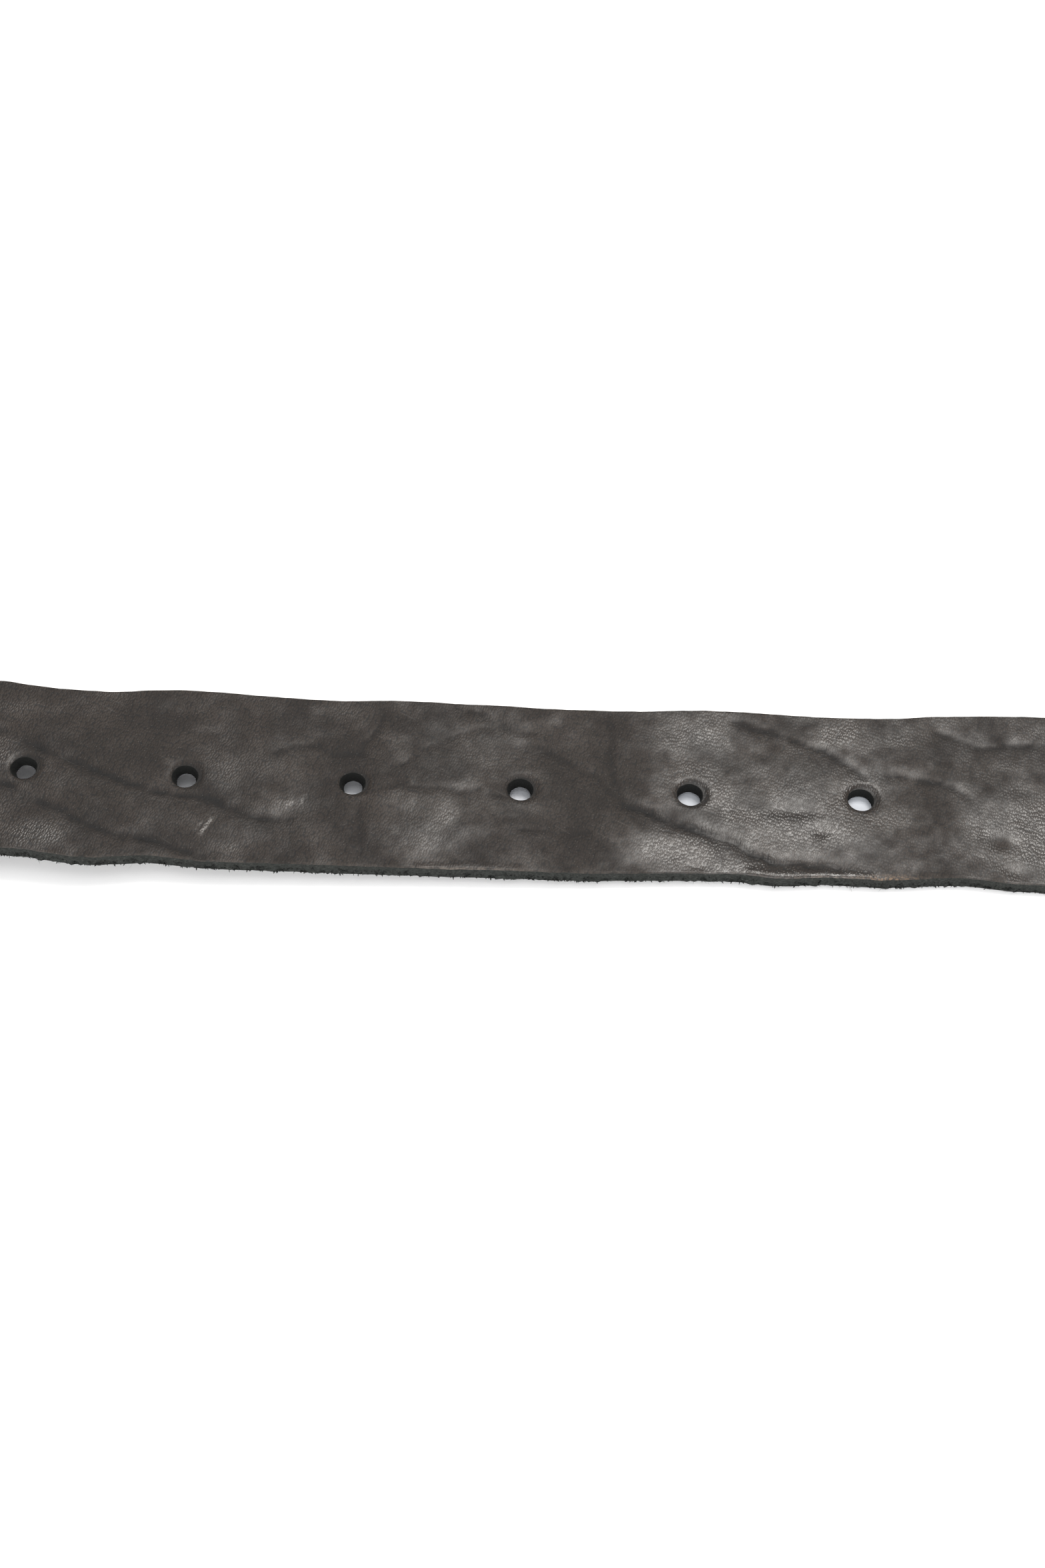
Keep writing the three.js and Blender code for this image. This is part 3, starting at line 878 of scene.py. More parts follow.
@dataclass(frozen=True)
class SteelFinish(Finish):
    """Satin steel: fine brushed lines, handling marks, and a duller, darker film in patches."""

    bright: Colour = (0.66, 0.65, 0.63, 1)
    film: Colour = (0.42, 0.40, 0.37, 1)
    film_size: float = 5.0
    film_share: float = 0.45
    brush_per_mm: Triple = (0.5, 9.0, 9.0)
    brush_turn_deg: float = 0.0
    low_roughness: float = 0.2
    high_roughness: float = 0.42
    depth_mm: float = 0.006

    def paint(self, sketch: Sketch, shader: NodeInputs, effects: Effects) -> None:
        """Feeds the shader from Object coordinates."""
        place = sketch.object_place()
        wear = sketch.group(effects.wear, {"Place": place, "Mottle size": self.film_size}).outputs
        turned = sketch.turned(place, math.radians(self.brush_turn_deg))
        brushed = sketch.noise(sketch.vector("MULTIPLY", turned, self.brush_per_mm), 1.0)
        film = sketch.math("MULTIPLY", wear["Mottle"], self.film_share)
        filmed = sketch.mix(film, self.bright, self.film)
        sketch.feed(shader["Base Color"], sketch.mix(wear["Scratches"], filmed, self.bright))
        shader["Metallic"].default_value = 1.0
        dulled = sketch.math("MULTIPLY_ADD", brushed, 0.5, film)
        sketch.feed(shader["Roughness"], sketch.span(dulled, self.low_roughness, self.high_roughness))
        marks = sketch.math("MULTIPLY_ADD", wear["Scratches"], -0.5, brushed)
        sketch.feed(shader["Normal"], sketch.bump(marks, self.depth_mm))


@dataclass(frozen=True)
class FloorFinish(Finish):
    """A plain white board with the faintest tooth, and a painted shadow in the strip under the belt.

    The painted shadow is a greyer strip under the belt. Its ends fade over painted_shadow_fade, its sides
    between the two distances of painted_shadow_y from the middle line, and it changes from the left tone to
    the right one along the holes.
    """

    colour: Colour = (0.95, 0.95, 0.952, 1)
    left_painted_shadow: Colour = (0.96, 0.97, 1.0, 1)
    right_painted_shadow: Colour = (0.6, 0.63, 0.68, 1)
    holes_x: Pair = (-400.0, -290.0)
    painted_shadow_x: Pair = (-470.0, 400.0)
    painted_shadow_fade: float = 5.0
    painted_shadow_y: Pair = (10.0, 7.0)
    roughness: float = 0.85
    tooth_per_mm: float = 1.5
    tooth_mm: float = 0.01

    def paint(self, sketch: Sketch, shader: NodeInputs, effects: Effects) -> None:
        """Feeds the shader from Object coordinates."""
        place = sketch.object_place()
        tooth = sketch.noise(place, self.tooth_per_mm)
        along, across, _ = sketch.add("ShaderNodeSeparateXYZ", {0: place}).outputs
        start, end = self.painted_shadow_x
        begun = sketch.smooth(along, start, start + self.painted_shadow_fade)
        ended = sketch.smooth(along, end, end - self.painted_shadow_fade)
        beside = sketch.smooth(sketch.math("ABSOLUTE", across), *self.painted_shadow_y)
        under = sketch.math("MULTIPLY", sketch.math("MULTIPLY", begun, ended), beside)
        # Painted shadow: the floor is greyer in the strip under the belt.
        painted_shadow = sketch.mix(sketch.smooth(along, *self.holes_x), self.left_painted_shadow, self.right_painted_shadow)
        sketch.feed(shader["Base Color"], sketch.mix(under, self.colour, painted_shadow))
        shader["Roughness"].default_value = self.roughness
        sketch.feed(shader["Normal"], sketch.bump(tooth, self.tooth_mm))


@dataclass(frozen=True)
class Finishes:
    """All the materials of the belt and of the floor."""

    strap: tuple[Material, ...]
    keeper: tuple[Material, ...]
    cut: Material
    buckle: Material
    roller: Material
    rivet: Material
    floor: Material

    @classmethod
    def build(cls) -> Finishes:
        """Builds each material once. Leather ones stand in the order of Side."""
        effects = Effects.build()
        cut = CutFinish("cut_edge").material(effects)
        flesh = FleshFinish("flesh_side").material(effects)
        roller = SteelFinish("roller_satin", low_roughness=0.16, high_roughness=0.34, brush_turn_deg=90.0)
        return cls(
            strap=(GrainFinish("strap_grain").material(effects), cut, flesh),
            keeper=(GrainFinish("keeper_grain", pebble_depth_mm=0.05).material(effects), cut, flesh),
            cut=cut,
            buckle=SteelFinish("buckle_satin").material(effects),
            roller=roller.material(effects),
            rivet=SteelFinish("rivet_satin", low_roughness=0.24).material(effects),
            floor=FloorFinish("pale_floor").material(effects),
        )


@dataclass
class StrapForm:
    """The strap's shape: where a place on the leather lies in space.

    A place is (run, across, level): run is the way along the strap's middle line, over the fold and back;
    across is counted from the middle; level is 1 on the grain side, -1 on the flesh side.
    """

    tip_x: float
    width: float = 30.0
    thickness: float = 2.25
    tip_length: float = 24.0
    tip_end_half_width: float = 1.5
    bar_along: float = 952.5
    bar_height: float = 4.3
    fold_inner_radius: float = 2.05
    layer_height: float = 4.45
    layer_rise: float = 68.0
    eye_length: float = 14.0
    turn_under: float = 52.0
    first_hole: float = 90.0
    hole_radius: float = 2.0
    hole_row: float = -0.4
    slot_half_width: float = 2.7
    slot_from_bar: float = 12.7
    lip_radius: float = 0.16
    rim_dip: float = 0.34
    rim_reach: float = 0.5
    rim_lean: Pair = (0.28, 0.16)
    fold_depth: float = 0.85
    valley_depth: float = 0.45
    valley_spread: float = 3.0
    photo_start: float = 80.0
    photo_end: float = 247.0
    strays_begin: Pair = (20.0, 70.0)
    strays_end: Pair = (262.0, 300.0)
    far_raggedness: float = 0.6
    near_raggedness: float = 1.3
    edge_share: float = 0.45

    def __post_init__(self) -> None:
        """Works out what follows from the sizes."""
        self.half = self.width / 2
        self.fold_radius = self.fold_inner_radius + self.thickness / 2
        self.fold_run = math.pi * self.fold_radius
        self.run_end = self.bar_along + self.fold_run + self.turn_under
        self.slot_middle = self.bar_along + self.fold_run / 2
        self.slot_half_run = self.slot_from_bar + self.fold_run / 2
        self.holes = self.first_hole + np.cumsum([hole.step for hole in HOLES])
        self.level_end = self.bar_along - self.turn_under - self.layer_rise
        layer = self.layer_height
        self.heights = (
            Height(0, 0), Height(30, 2.7), Height(62, 4.5), Height(90, 4.0), Height(114, 2.6),
            Height(139, 1.7), Height(164, 1.0), Height(189, 0.5), Height(215, 0.15), Height(240, 0),
            Height(self.level_end, 0), Height(self.bar_along - self.turn_under - 2, layer),
            Height(self.bar_along - self.eye_length, layer),
            Height(self.bar_along, self.bar_height + self.fold_inner_radius),
        )

    def underside(self, along: Array) -> Array:
        """The height of the upper layer's underside."""
        return smooth_through(along, *np.array(self.heights).T)

    def middle_line(self, run: Array) -> tuple[Array, Array]:
        """The strap's middle line and the way its grain side faces.

        Up to the bar the line follows the table of heights, then half a circle round the bar, and then the
        first stretch again, mirrored in the bar's height.

        Args:
            run: Places along the line.

        Returns:
            The points (x, z) and the unit vectors (x, z) out of the grain side, one row each.
        """
        past = run > self.bar_along + self.fold_run
        back = self.bar_along - (run - self.bar_along - self.fold_run)
        along = np.where(past, back, np.minimum(run, self.bar_along))
        step = 0.01
        slope = (self.underside(along + step) - self.underside(along - step)) / (2 * step)
        length = np.hypot(slope, 1.0)
        height = self.underside(along) + self.thickness / 2
        flip = np.where(past, -1.0, 1.0)
        layer_z = np.where(past, 2 * self.bar_height - height, height)
        angle = np.clip((run - self.bar_along) / self.fold_radius, 0, math.pi)
        on_fold = (run > self.bar_along) & ~past
        out_x = np.where(on_fold, np.sin(angle), -slope / length)
        out_z = np.where(on_fold, np.cos(angle), flip / length)
        x = np.where(on_fold, self.bar_along + self.fold_radius * np.sin(angle), along)
        z = np.where(on_fold, self.bar_height + self.fold_radius * np.cos(angle), layer_z)
        return np.stack([x + self.tip_x, z], axis=-1), np.stack([out_x, out_z], axis=-1)

    def half_width(self, run: Array) -> Array:
        """Half the width at a place: full, but for the rounded tip, a quarter ellipse each side."""
        left = np.clip(1 - run / self.tip_length, 0, 1)
        end = self.tip_end_half_width
        return end + (self.half - end) * np.sqrt(1 - left**2)

    def stray(self, run: Array, far: Array) -> Array:
        """How far the edge lies outside the straight line: the knife's slow stray and a ragged part.

        Args:
            run: Places along the strap.
            far: Whether each is on the far side.

        Returns:
            The distance in mm, below 0 where the edge lies inside the line.
        """
        from_hole = run - self.first_hole
        slow_far = smooth_through(from_hole, *np.array(FAR_STRAYS).T)
        slow_near = smooth_through(from_hole, *np.array(NEAR_STRAYS).T)
        fade = eased_step(run, *self.strays_begin) * (1 - eased_step(run, *self.strays_end))
        ragged = Ripple(0.05, 1.9, 1.0, 11).at(run, 3.0) + Ripple(0.03, 0.7, 1.0, 12).at(run, 0.0)
        raggedness = np.where(far, self.far_raggedness, self.near_raggedness)
        sway = Ripple(0.12, 30.0, 1.0, 13).at(run, 7.0)
        return np.where(far, slow_far, slow_near) * fade + raggedness * ragged + sway

    def spread(self, run: Array, across: Array) -> Array:
        """Where a nominal distance from the middle ends up: narrowed at the tip, strayed at the edges."""
        pull = self.stray(run, across > 0) * eased_step(np.abs(across) / self.half, self.edge_share, 1.0)
        return (across + np.sign(across) * pull) * self.half_width(run) / self.half

    def rim_distance(self, run: Array, across: Array) -> Array:
        """The distance to the nearest hole's or the slot's rim, from outside."""
        nearest = np.full(np.shape(run), np.inf)
        for hole in self.holes:
            nearest = np.minimum(nearest, np.hypot(run - hole, across - self.hole_row) - self.hole_radius)
        core = self.slot_half_run - self.slot_half_width
        past_core = np.maximum(np.abs(run - self.slot_middle) - core, 0)
        return np.minimum(nearest, np.hypot(past_core, across) - self.slot_half_width)

    def rim_press(self, run: Array, across: Array, reach: float) -> Array:
        """How near a pressed rim is: exp(-(distance / reach) ** 2), with the rim moved by its lean."""
        lean_run, lean_across = self.rim_lean
        off_rim = np.maximum(self.rim_distance(run - lean_run, across - lean_across), 0)
        return np.exp(-((off_rim / reach) ** 2))

    def edge_distance(self, run: Array, across: Array) -> Array:
        """The distance to the nearest cut edge, across or at either end."""
        side = (1 - np.abs(across) / self.half) * self.half_width(run)
        return np.minimum(side, np.minimum(run, self.run_end - run))

    def creases(self, run: Array, across: Array) -> tuple[Array, Array]:
        """The creases as a fine fold and as the wide soft valley that it lies in.

        With d the distance to the route in half widths, the fold is depth * exp(-(1.25 * d) ** 2) and the
        valley is depth * exp(-(d / spread) ** 2). Noise bends each route and lets the fold fade.

        Args:
            run: Places along the strap.
            across: Places across it.

        Returns:
            The fold's and the valley's depth in mm.
        """
        along = run - self.first_hole + ripple_sum(run, across, CREASE_BENDS_ALONG)
        sideways = across - self.hole_row + ripple_sum(run, across, CREASE_BENDS_ACROSS)
        uneven = 0.8 + ripple_sum(run, across, CREASE_FADES)
        fold = np.zeros(np.shape(run))
        valley = np.zeros(np.shape(run))
        for crease in CREASES:
            away = distance_to_route(along, sideways, crease.route) / crease.half_width
            fold = np.maximum(fold, crease.strength * uneven * np.exp(-((away * 1.25) ** 2)))
            valley = np.maximum(valley, crease.strength * np.exp(-((away / self.valley_spread) ** 2)))
        return fold, valley

    def relief(self, run: Array, across: Array) -> Array:
        """How far the grain side lies below the flat: creases, dimples, waves, rims and rounded edges.

        Args:
            run: Places along the strap.
            across: Places across it.

        Returns:
            The depth in mm.
        """
        along, sideways = run - self.first_hole, across - self.hole_row
        fold, valley = self.creases(run, across)
        hollows = self.fold_depth * fold + self.valley_depth * valley + zone_sum(along, sideways, DIMPLES)
        waves = ripple_sum(run, across, LEATHER_WAVES)
        rim = self.rim_dip * self.rim_press(run, across, self.rim_reach)
        inside = np.clip(self.lip_radius - self.edge_distance(run, across), 0, self.lip_radius)
        lip = self.lip_radius - np.sqrt(self.lip_radius**2 - inside**2)
        return hollows + waves + rim + lip - strongest_line(along, sideways, RIDGES)

    def place(self, run: Array, across: Array, level: Array, out_run: Array, out_across: Array) -> Array:
        """Puts places on the leather into space.

        Args:
            run: Places along the middle line.
            across: Nominal distances from the middle.
            level: 1 on the grain side, -1 on the flesh side, between them on a cut.
            out_run: How far to move a cut's point along the middle line.
            out_across: How far to move it across.

        Returns:
            One row of x, y, z for each place, in mm.
        """
        middle, out = self.middle_line(run)
        grain = self.thickness / 2 - self.relief(run, across)
        offset = grain * (1 + level) / 2 - self.thickness / 2 * (1 - level) / 2
        x = middle[:, 0] + out[:, 0] * offset + out[:, 1] * out_run
        z = middle[:, 1] + out[:, 1] * offset - out[:, 0] * out_run
        return np.stack([x, self.spread(run, across) + out_across, z], axis=-1)


@dataclass(frozen=True)
class StrapWearAndPaintedLight:
    """What use has done to the strap, and where shade and highlight are painted on it, as values from 0 to 1
    that its materials read.
    """

    form: StrapForm
    shown_from: Pair = (74.0, 82.0)
    shown_to: Pair = (246.0, 262.0)
    least_gloss: float = 0.14
    more_gloss: float = 0.14
    more_gloss_along: Pair = (88.0, 100.0)
    gloss_elsewhere: float = 0.4
    plain_lip: float = 0.2
    lip_reach: float = 0.25
    hole_reach: float = 0.25
    rim_shade_strength: float = 0.75
    rim_shade_reach: float = 0.2
    fold_shade: float = 3.6
    valley_shade: float = 0.3

    def values(self, run: Array, across: Array, level: Array) -> dict[str, Array]:
        """All the values.

        Args:
            run: Places along the middle line.
            across: Nominal distances from the middle.
            level: 1 on the grain side, -1 on the flesh side.

        Returns:
            Shine, rubbed lip with a painted highlight, painted crease and rim shade, scuff and tan wear, by
            name.
        """
        along, sideways = run - self.form.first_hole, across - self.form.hole_row
        return {
            "gloss": self.gloss(run, across),
            "lip": self.lip(run, across, level),
            "crease": self.crease(run, across, level),
            "scuff": strongest_line(along, sideways, SCUFFS),
            "tan": zone_sum(along, sideways, TAN_WEAR),
        }

    def gloss(self, run: Array, across: Array) -> Array:
        """Shine: patchy, and charted by zone where the belt was photographed."""
        along, sideways = run - self.form.first_hole, across - self.form.hole_row
        shown = eased_step(run, *self.shown_from) * (1 - eased_step(run, *self.shown_to))
        slow = self.least_gloss + self.more_gloss * eased_step(along, *self.more_gloss_along)
        patchy = ripple_sum(run, across, GLOSS_PATCHES) * (0.45 + slow * 2)
        zones = slow + patchy + zone_sum(along, sideways, GLOSS)
        elsewhere = self.gloss_elsewhere + ripple_sum(run, across, GLOSS_ELSEWHERE)
        return np.clip(zones * shown + elsewhere * (1 - shown), 0, 1)

    def lip(self, run: Array, across: Array, level: Array) -> Array:
        """The rubbed lip and its painted highlight: exp(-(distance to the cut / reach) ** 2), raised by
        painted highlight zones where the near lip catches the light.
        """
        at_lip = np.exp(-((self.form.edge_distance(run, across) / self.lip_reach) ** 2)) * (level > 0.9)
        lit = zone_sum(run - self.form.first_hole, 0.0, PAINTED_LIP_HIGHLIGHTS)
        near = across < self.form.hole_row
        return at_lip * np.clip(self.plain_lip + np.where(near, lit, 0), 0, 1)

    def crease(self, run: Array, across: Array, level: Array) -> Array:
        """Painted shade: dark creases and darkened rims, and 1 on the walls of the openings."""
        fold, valley = self.form.creases(run, across)
        painted_hole_shade = (self.form.rim_distance(run, across) < self.hole_reach) & (level < 0.9)
        # Painted shade in a band round the hole rims, strongest on the far right side.
        painted_rim_shade = self.rim_shade_strength * self.form.rim_press(run, across, self.rim_shade_reach)
        return np.where(painted_hole_shade, 1, np.clip(self.fold_shade * fold + self.valley_shade * valley + painted_rim_shade, 0, 1))


@dataclass
class Block:
    """A block of the strap's grid, by its first and last row and column."""

    first_row: int
    last_row: int
    first_column: int
    last_column: int

    def loop(self, columns: int) -> Indices:
        """The grid's vertices round the block, turning left as seen from the grain side.

        Args:
            columns: How many grid lines run along the strap.

        Returns:
            The vertices' numbers in the grid.
        """
        rows = np.arange(self.first_row, self.last_row)
        lines = np.arange(self.first_column, self.last_column)
        return np.concatenate([
            rows * columns + self.first_column,
            self.last_row * columns + lines,
            (rows[::-1] + 1) * columns + self.last_column,
            self.first_row * columns + lines[::-1] + 1,
        ])


@dataclass
class Opening:
    """A round-ended opening through the strap, and its radius and shift on the flesh side."""

    middle_run: float
    middle_across: float
    half_run: float
    radius: float
    flesh_radius: float
    flesh_shift: float
    seed: int

    def outline(self, run: Array, across: Array, level: float) -> tuple[Array, Array]:
        """The opening's outline at a level, one point for each point round its block.

        Each point is drawn towards the nearest point of the opening's core line and stops a radius short
        of it. The radius shrinks evenly from the grain side to the flesh side, and varies a little, as a
        hand punch leaves it. Far from the core line the outline takes the shape of the block.

        Args:
            run: The block's points along the strap.
            across: The block's points across it.
            level: 1 on the grain side, -1 on the flesh side.

        Returns:
            The outline's places along and across.
        """
        depth = (1 - level) / 2
        radius = self.radius + (self.flesh_radius - self.radius) * depth
        core = self.half_run - self.radius
        core_run = self.middle_run + np.clip(run - self.middle_run, -core, core)
        way_run, way_across = run - core_run, across - self.middle_across
        length = np.hypot(way_run, way_across)
        turn = np.arctan2(way_across, way_run)
        round_x, round_y = 3 + np.cos(turn) * 2.4, 3 + np.sin(turn) * 2.4
        ragged = 1 + (0.02 + 0.015 * depth) * lattice_noise(round_x, round_y, 50 + self.seed)
        reach = radius * ragged / length
        shifted = self.middle_across + self.flesh_shift * depth
        return core_run + way_run * reach, shifted + way_across * reach


class Outline(NamedTuple):
    """A closed line on the strap's grid: its places, and its vertices on the grain and the flesh side."""

    run: Array
    across: Array
    grain: Indices
    flesh: Indices


class GrowingMesh:
    """The strap's mesh while it grows: rows of (run, across, level, out along, out across), and faces."""

    def __init__(self) -> None:
        """Starts with nothing."""
        self.rows: list[Array] = []
        self.faces: list[Indices] = []
        self.sides: list[Indices] = []
        self.total = 0

    def add_points(
        self,
        run: Array,
        across: Array,
        level: float,
        out_run: Array | float = 0.0,
        out_across: Array | float = 0.0,
    ) -> Indices:
        """Adds vertices, one for each place, and gives their numbers."""
        self.rows.append(np.stack(np.broadcast_arrays(run, across, level, out_run, out_across), axis=1))
        numbers = self.total + np.arange(len(run))
        self.total += len(run)
        return numbers

    def add_faces(self, quads: Indices, side: Side) -> None:
        """Adds faces of one side of the leather."""
        self.faces.append(quads)
        self.sides.append(np.full(len(quads), side.value))

    def compact(self) -> tuple[Array, Indices, Indices]:
        """The rows of the vertices that a face uses, the faces that count them, and the faces' sides."""
        faces = np.concatenate(self.faces)
        used, renumbered = np.unique(faces, return_inverse=True)
        return np.concatenate(self.rows)[used], renumbered.reshape(-1, 4), np.concatenate(self.sides)


@dataclass
class Strap:
    """The leather strap, one closed mesh on a grid of rows along it and columns across."""

    form: StrapForm
    tip_rows: int = 36
    hole_block: float = 6.4
    block_steps: int = 12
    slot_block_margin: float = 1.7
    fine_step: float = 0.45
    cut_levels: tuple[float, ...] = (0.8, 0.5, 0.2, -0.1, -0.4, -0.7, -0.9)
    hole_levels: tuple[float, ...] = (0.85, 0.5, 0.0, -0.5, -0.85)
    opening_rings: int = 6
    cut_bulge: float = 0.05
    least_fray: float = 0.05
    more_fray: float = 0.4
    tip_flatten: float = 0.6

    def rows(self) -> Array:
        """The grid's rows: close together where the belt was photographed, with lines at each block."""
        form = self.form
        tip = form.tip_length * (1 - np.cos(np.linspace(0, math.pi / 2, self.tip_rows)))
        block = self.hole_block / 2
        stops = [(form.photo_start, 5.0)]
        for hole in form.holes:
            stops += [(hole - block, self.fine_step), (hole + block, self.hole_block / self.block_steps)]
        reach = form.slot_half_run + self.slot_block_margin
        stops += [
            (form.photo_end, self.fine_step),
            (form.level_end, 6.0),
            (form.slot_middle - reach, 2.5),
            (form.bar_along, 1.0),
            (form.bar_along + form.fold_run, 0.42),
            (form.slot_middle + reach, 1.0),
            (form.run_end, 3.0),
        ]
        return np.concatenate([tip[:-1], cells(stops, form.tip_length)])

    def columns(self) -> Array:
        """The grid's columns, with close ones at the rounded edges and lines at each block."""
        half = self.form.half
        block_low = self.form.hole_row - self.hole_block / 2
        block_high = self.form.hole_row + self.hole_block / 2
        slot_side = self.form.slot_half_width + self.slot_block_margin
        low_edge = [-half, -half + 0.06, -half + 0.16, -half + 0.4]
        stops = [
            (-half + 1.0, 0.6), (-slot_side, 0.5), (block_low, 0.5),
            (block_high, self.hole_block / self.block_steps), (slot_side, 0.5), (half - 1.0, 0.5),
            (half - 0.4, 0.6), (half - 0.16, 0.24), (half - 0.06, 0.1), (half, 0.06),
        ]
        return np.concatenate([low_edge[:-1], cells(stops, low_edge[-1])])

    def openings(self, rows: Array, columns: Array) -> list[tuple[Block, Opening]]:
        """The six holes and the prong's slot, each with its block of the grid."""
        form = self.form

        def block(run: float, across: float, half_run: float, half_across: float) -> Block:
            """The block between the grid lines nearest to its four sides."""
            ends = (rows, run - half_run), (rows, run + half_run)
            sides = (columns, across - half_across), (columns, across + half_across)
            return Block(*(int(np.argmin(np.abs(lines - place))) for lines, place in ends + sides))

        half = self.hole_block / 2
        found = []
        for seed, (run, hole) in enumerate(zip(form.holes, HOLES)):
            punched = Opening(float(run), form.hole_row, form.hole_radius, form.hole_radius,
                              hole.flesh_radius, hole.flesh_shift, seed)
            found.append((block(run, form.hole_row, half, half), punched))
        slot = Opening(form.slot_middle, 0.0, form.slot_half_run, form.slot_half_width,
                       form.slot_half_width, 0.0, len(found))
        slot_block = block(form.slot_middle, 0.0, form.slot_half_run + self.slot_block_margin,
                           form.slot_half_width + self.slot_block_margin)
        return found + [(slot_block, slot)]

    def build(self, materials: Sequence[Material]) -> Object:
        """Builds the strap.

        The grain and flesh sides are the same grid at levels 1 and -1, without the blocks' inner cells. In
        each block rings lead from the block's outline to the opening's rim, on both sides, and a wall joins
        the two rims. A last wall, bulged and ragged, joins the two grids' outlines.

        Args:
            materials: The leather's materials, in the order of Side.

        Returns:
            The strap's object.
        """
        form = self.form
        rows, columns = self.rows(), self.columns()
        openings = self.openings(rows, columns)
        run, across = (grid.ravel() for grid in np.meshgrid(rows, columns, indexing="ij"))
        mesh = GrowingMesh()
        grain = mesh.add_points(run, across, 1.0)
        flesh = mesh.add_points(run, across, -1.0)
        index = grain.reshape(len(rows), len(columns))
        keep = np.ones((len(rows) - 1, len(columns) - 1), dtype=bool)
        for block, _ in openings:
            keep[block.first_row:block.last_row, block.first_column:block.last_column] = False
        quads = np.stack([index[:-1, :-1], index[1:, :-1], index[1:, 1:], index[:-1, 1:]], axis=-1)[keep]
        mesh.add_faces(quads, Side.GRAIN)
        mesh.add_faces(flesh[quads[:, ::-1]], Side.FLESH)

        def outline(block: Block) -> Outline:
            """A block's outline on both sides of the grid."""
            border = block.loop(len(columns))
            return Outline(run[border], across[border], grain[border], flesh[border])

        self.add_cut(mesh, outline(Block(0, len(rows) - 1, 0, len(columns) - 1)))
        for block, opening in openings:
            self.add_opening(mesh, outline(block), opening)

        table, faces, sides = mesh.compact()
        place = table[:, :3].T
        down = (1 - place[2]) / 2 * form.thickness
        uv = np.stack([place[0], form.spread(place[0], place[1]) + np.sign(place[1]) * down], axis=1)
        return make_piece("strap_leather_body", form.place(*table.T), faces.tolist(), materials,
                          face_material=sides, uv=uv, sharp_deg=50,
                          attributes=StrapWearAndPaintedLight(form).values(*place))

    def add_cut(self, mesh: GrowingMesh, outline: Outline) -> None:
        """Adds the raw cut all round the strap, from the grain side down to the flesh side.

        A point lies outside the outline by bulge * (1 - level ** 2) and by two ripples, the finer of which
        grows towards the flesh side, where the cut frays.

        Args:
            mesh: The mesh so far.
            outline: The whole grid's outline.
        """
        run, across, above, flesh = outline
        form = self.form
        steps = np.hypot(np.diff(run), np.diff(form.spread(run, across)))
        travelled = np.concatenate([[0.0], np.cumsum(steps)])
        tip_lean = np.clip(1 - run / form.tip_length, 0, 1)
        out_run = np.where(run == run.max(), 1.0, -tip_lean)
        on_side = np.abs(across) == across.max()
        out_across = np.where(on_side, np.sign(across) * (1 - self.tip_flatten * tip_lean), 0.0)
        for level in self.cut_levels:
            fray = self.least_fray + self.more_fray * ((1 - level) / 2) ** 2
            bulge = self.cut_bulge * (1 - level**2) + Ripple(0.09, 1.1, 0.5, 41).at(travelled, level)
            bulge += Ripple(fray, 0.5, 2 / 3, 42).at(travelled, level)
            below = mesh.add_points(run, across, level, out_run * bulge, out_across * bulge)
            mesh.add_faces(ring_quads(above, below)[:, ::-1], Side.CUT)
            above = below
        mesh.add_faces(ring_quads(above, flesh)[:, ::-1], Side.CUT)

    def add_opening(self, mesh: GrowingMesh, outline: Outline, opening: Opening) -> None:
        """Adds the rings and the wall of one opening.

        Ring number n of N lies at the share 1 - (1 - n / N) ** 1.5 of the way from the block to the rim.

        Args:
            mesh: The mesh so far.
            outline: The outline of the opening's block.
            opening: The opening.
        """
        run, across, grain, flesh = outline
        rims = []
        for side, level, outer in ((Side.GRAIN, 1.0, grain), (Side.FLESH, -1.0, flesh)):
            rim_run, rim_across = opening.outline(run, across, level)
            for ring in range(1, self.opening_rings + 1):
                share = 1 - (1 - ring / self.opening_rings) ** 1.5
                ring_run = run + (rim_run - run) * share
                ring_across = across + (rim_across - across) * share
                inner = mesh.add_points(ring_run, ring_across, level)
                quads = ring_quads(outer, inner)
                mesh.add_faces(quads if side is Side.GRAIN else quads[:, ::-1], side)
                outer = inner
            rims.append(outer)
        above, flesh_rim = rims
        turn = np.linspace(0, 2 * math.pi, len(run), endpoint=False)
        for level in self.hole_levels:
            round_x, round_y = 4 + 3 * np.cos(turn), 4 + 3 * np.sin(turn) + level * 3
            rough = 0.06 * lattice_noise(round_x, round_y, 60 + opening.seed)
            rim_run, rim_across = opening.outline(run, across, level)
            below = mesh.add_points(rim_run, rim_across, level, rough * np.cos(turn), rough * np.sin(turn))
            mesh.add_faces(ring_quads(above, below), Side.CUT)
            above = below
        mesh.add_faces(ring_quads(above, flesh_rim), Side.CUT)


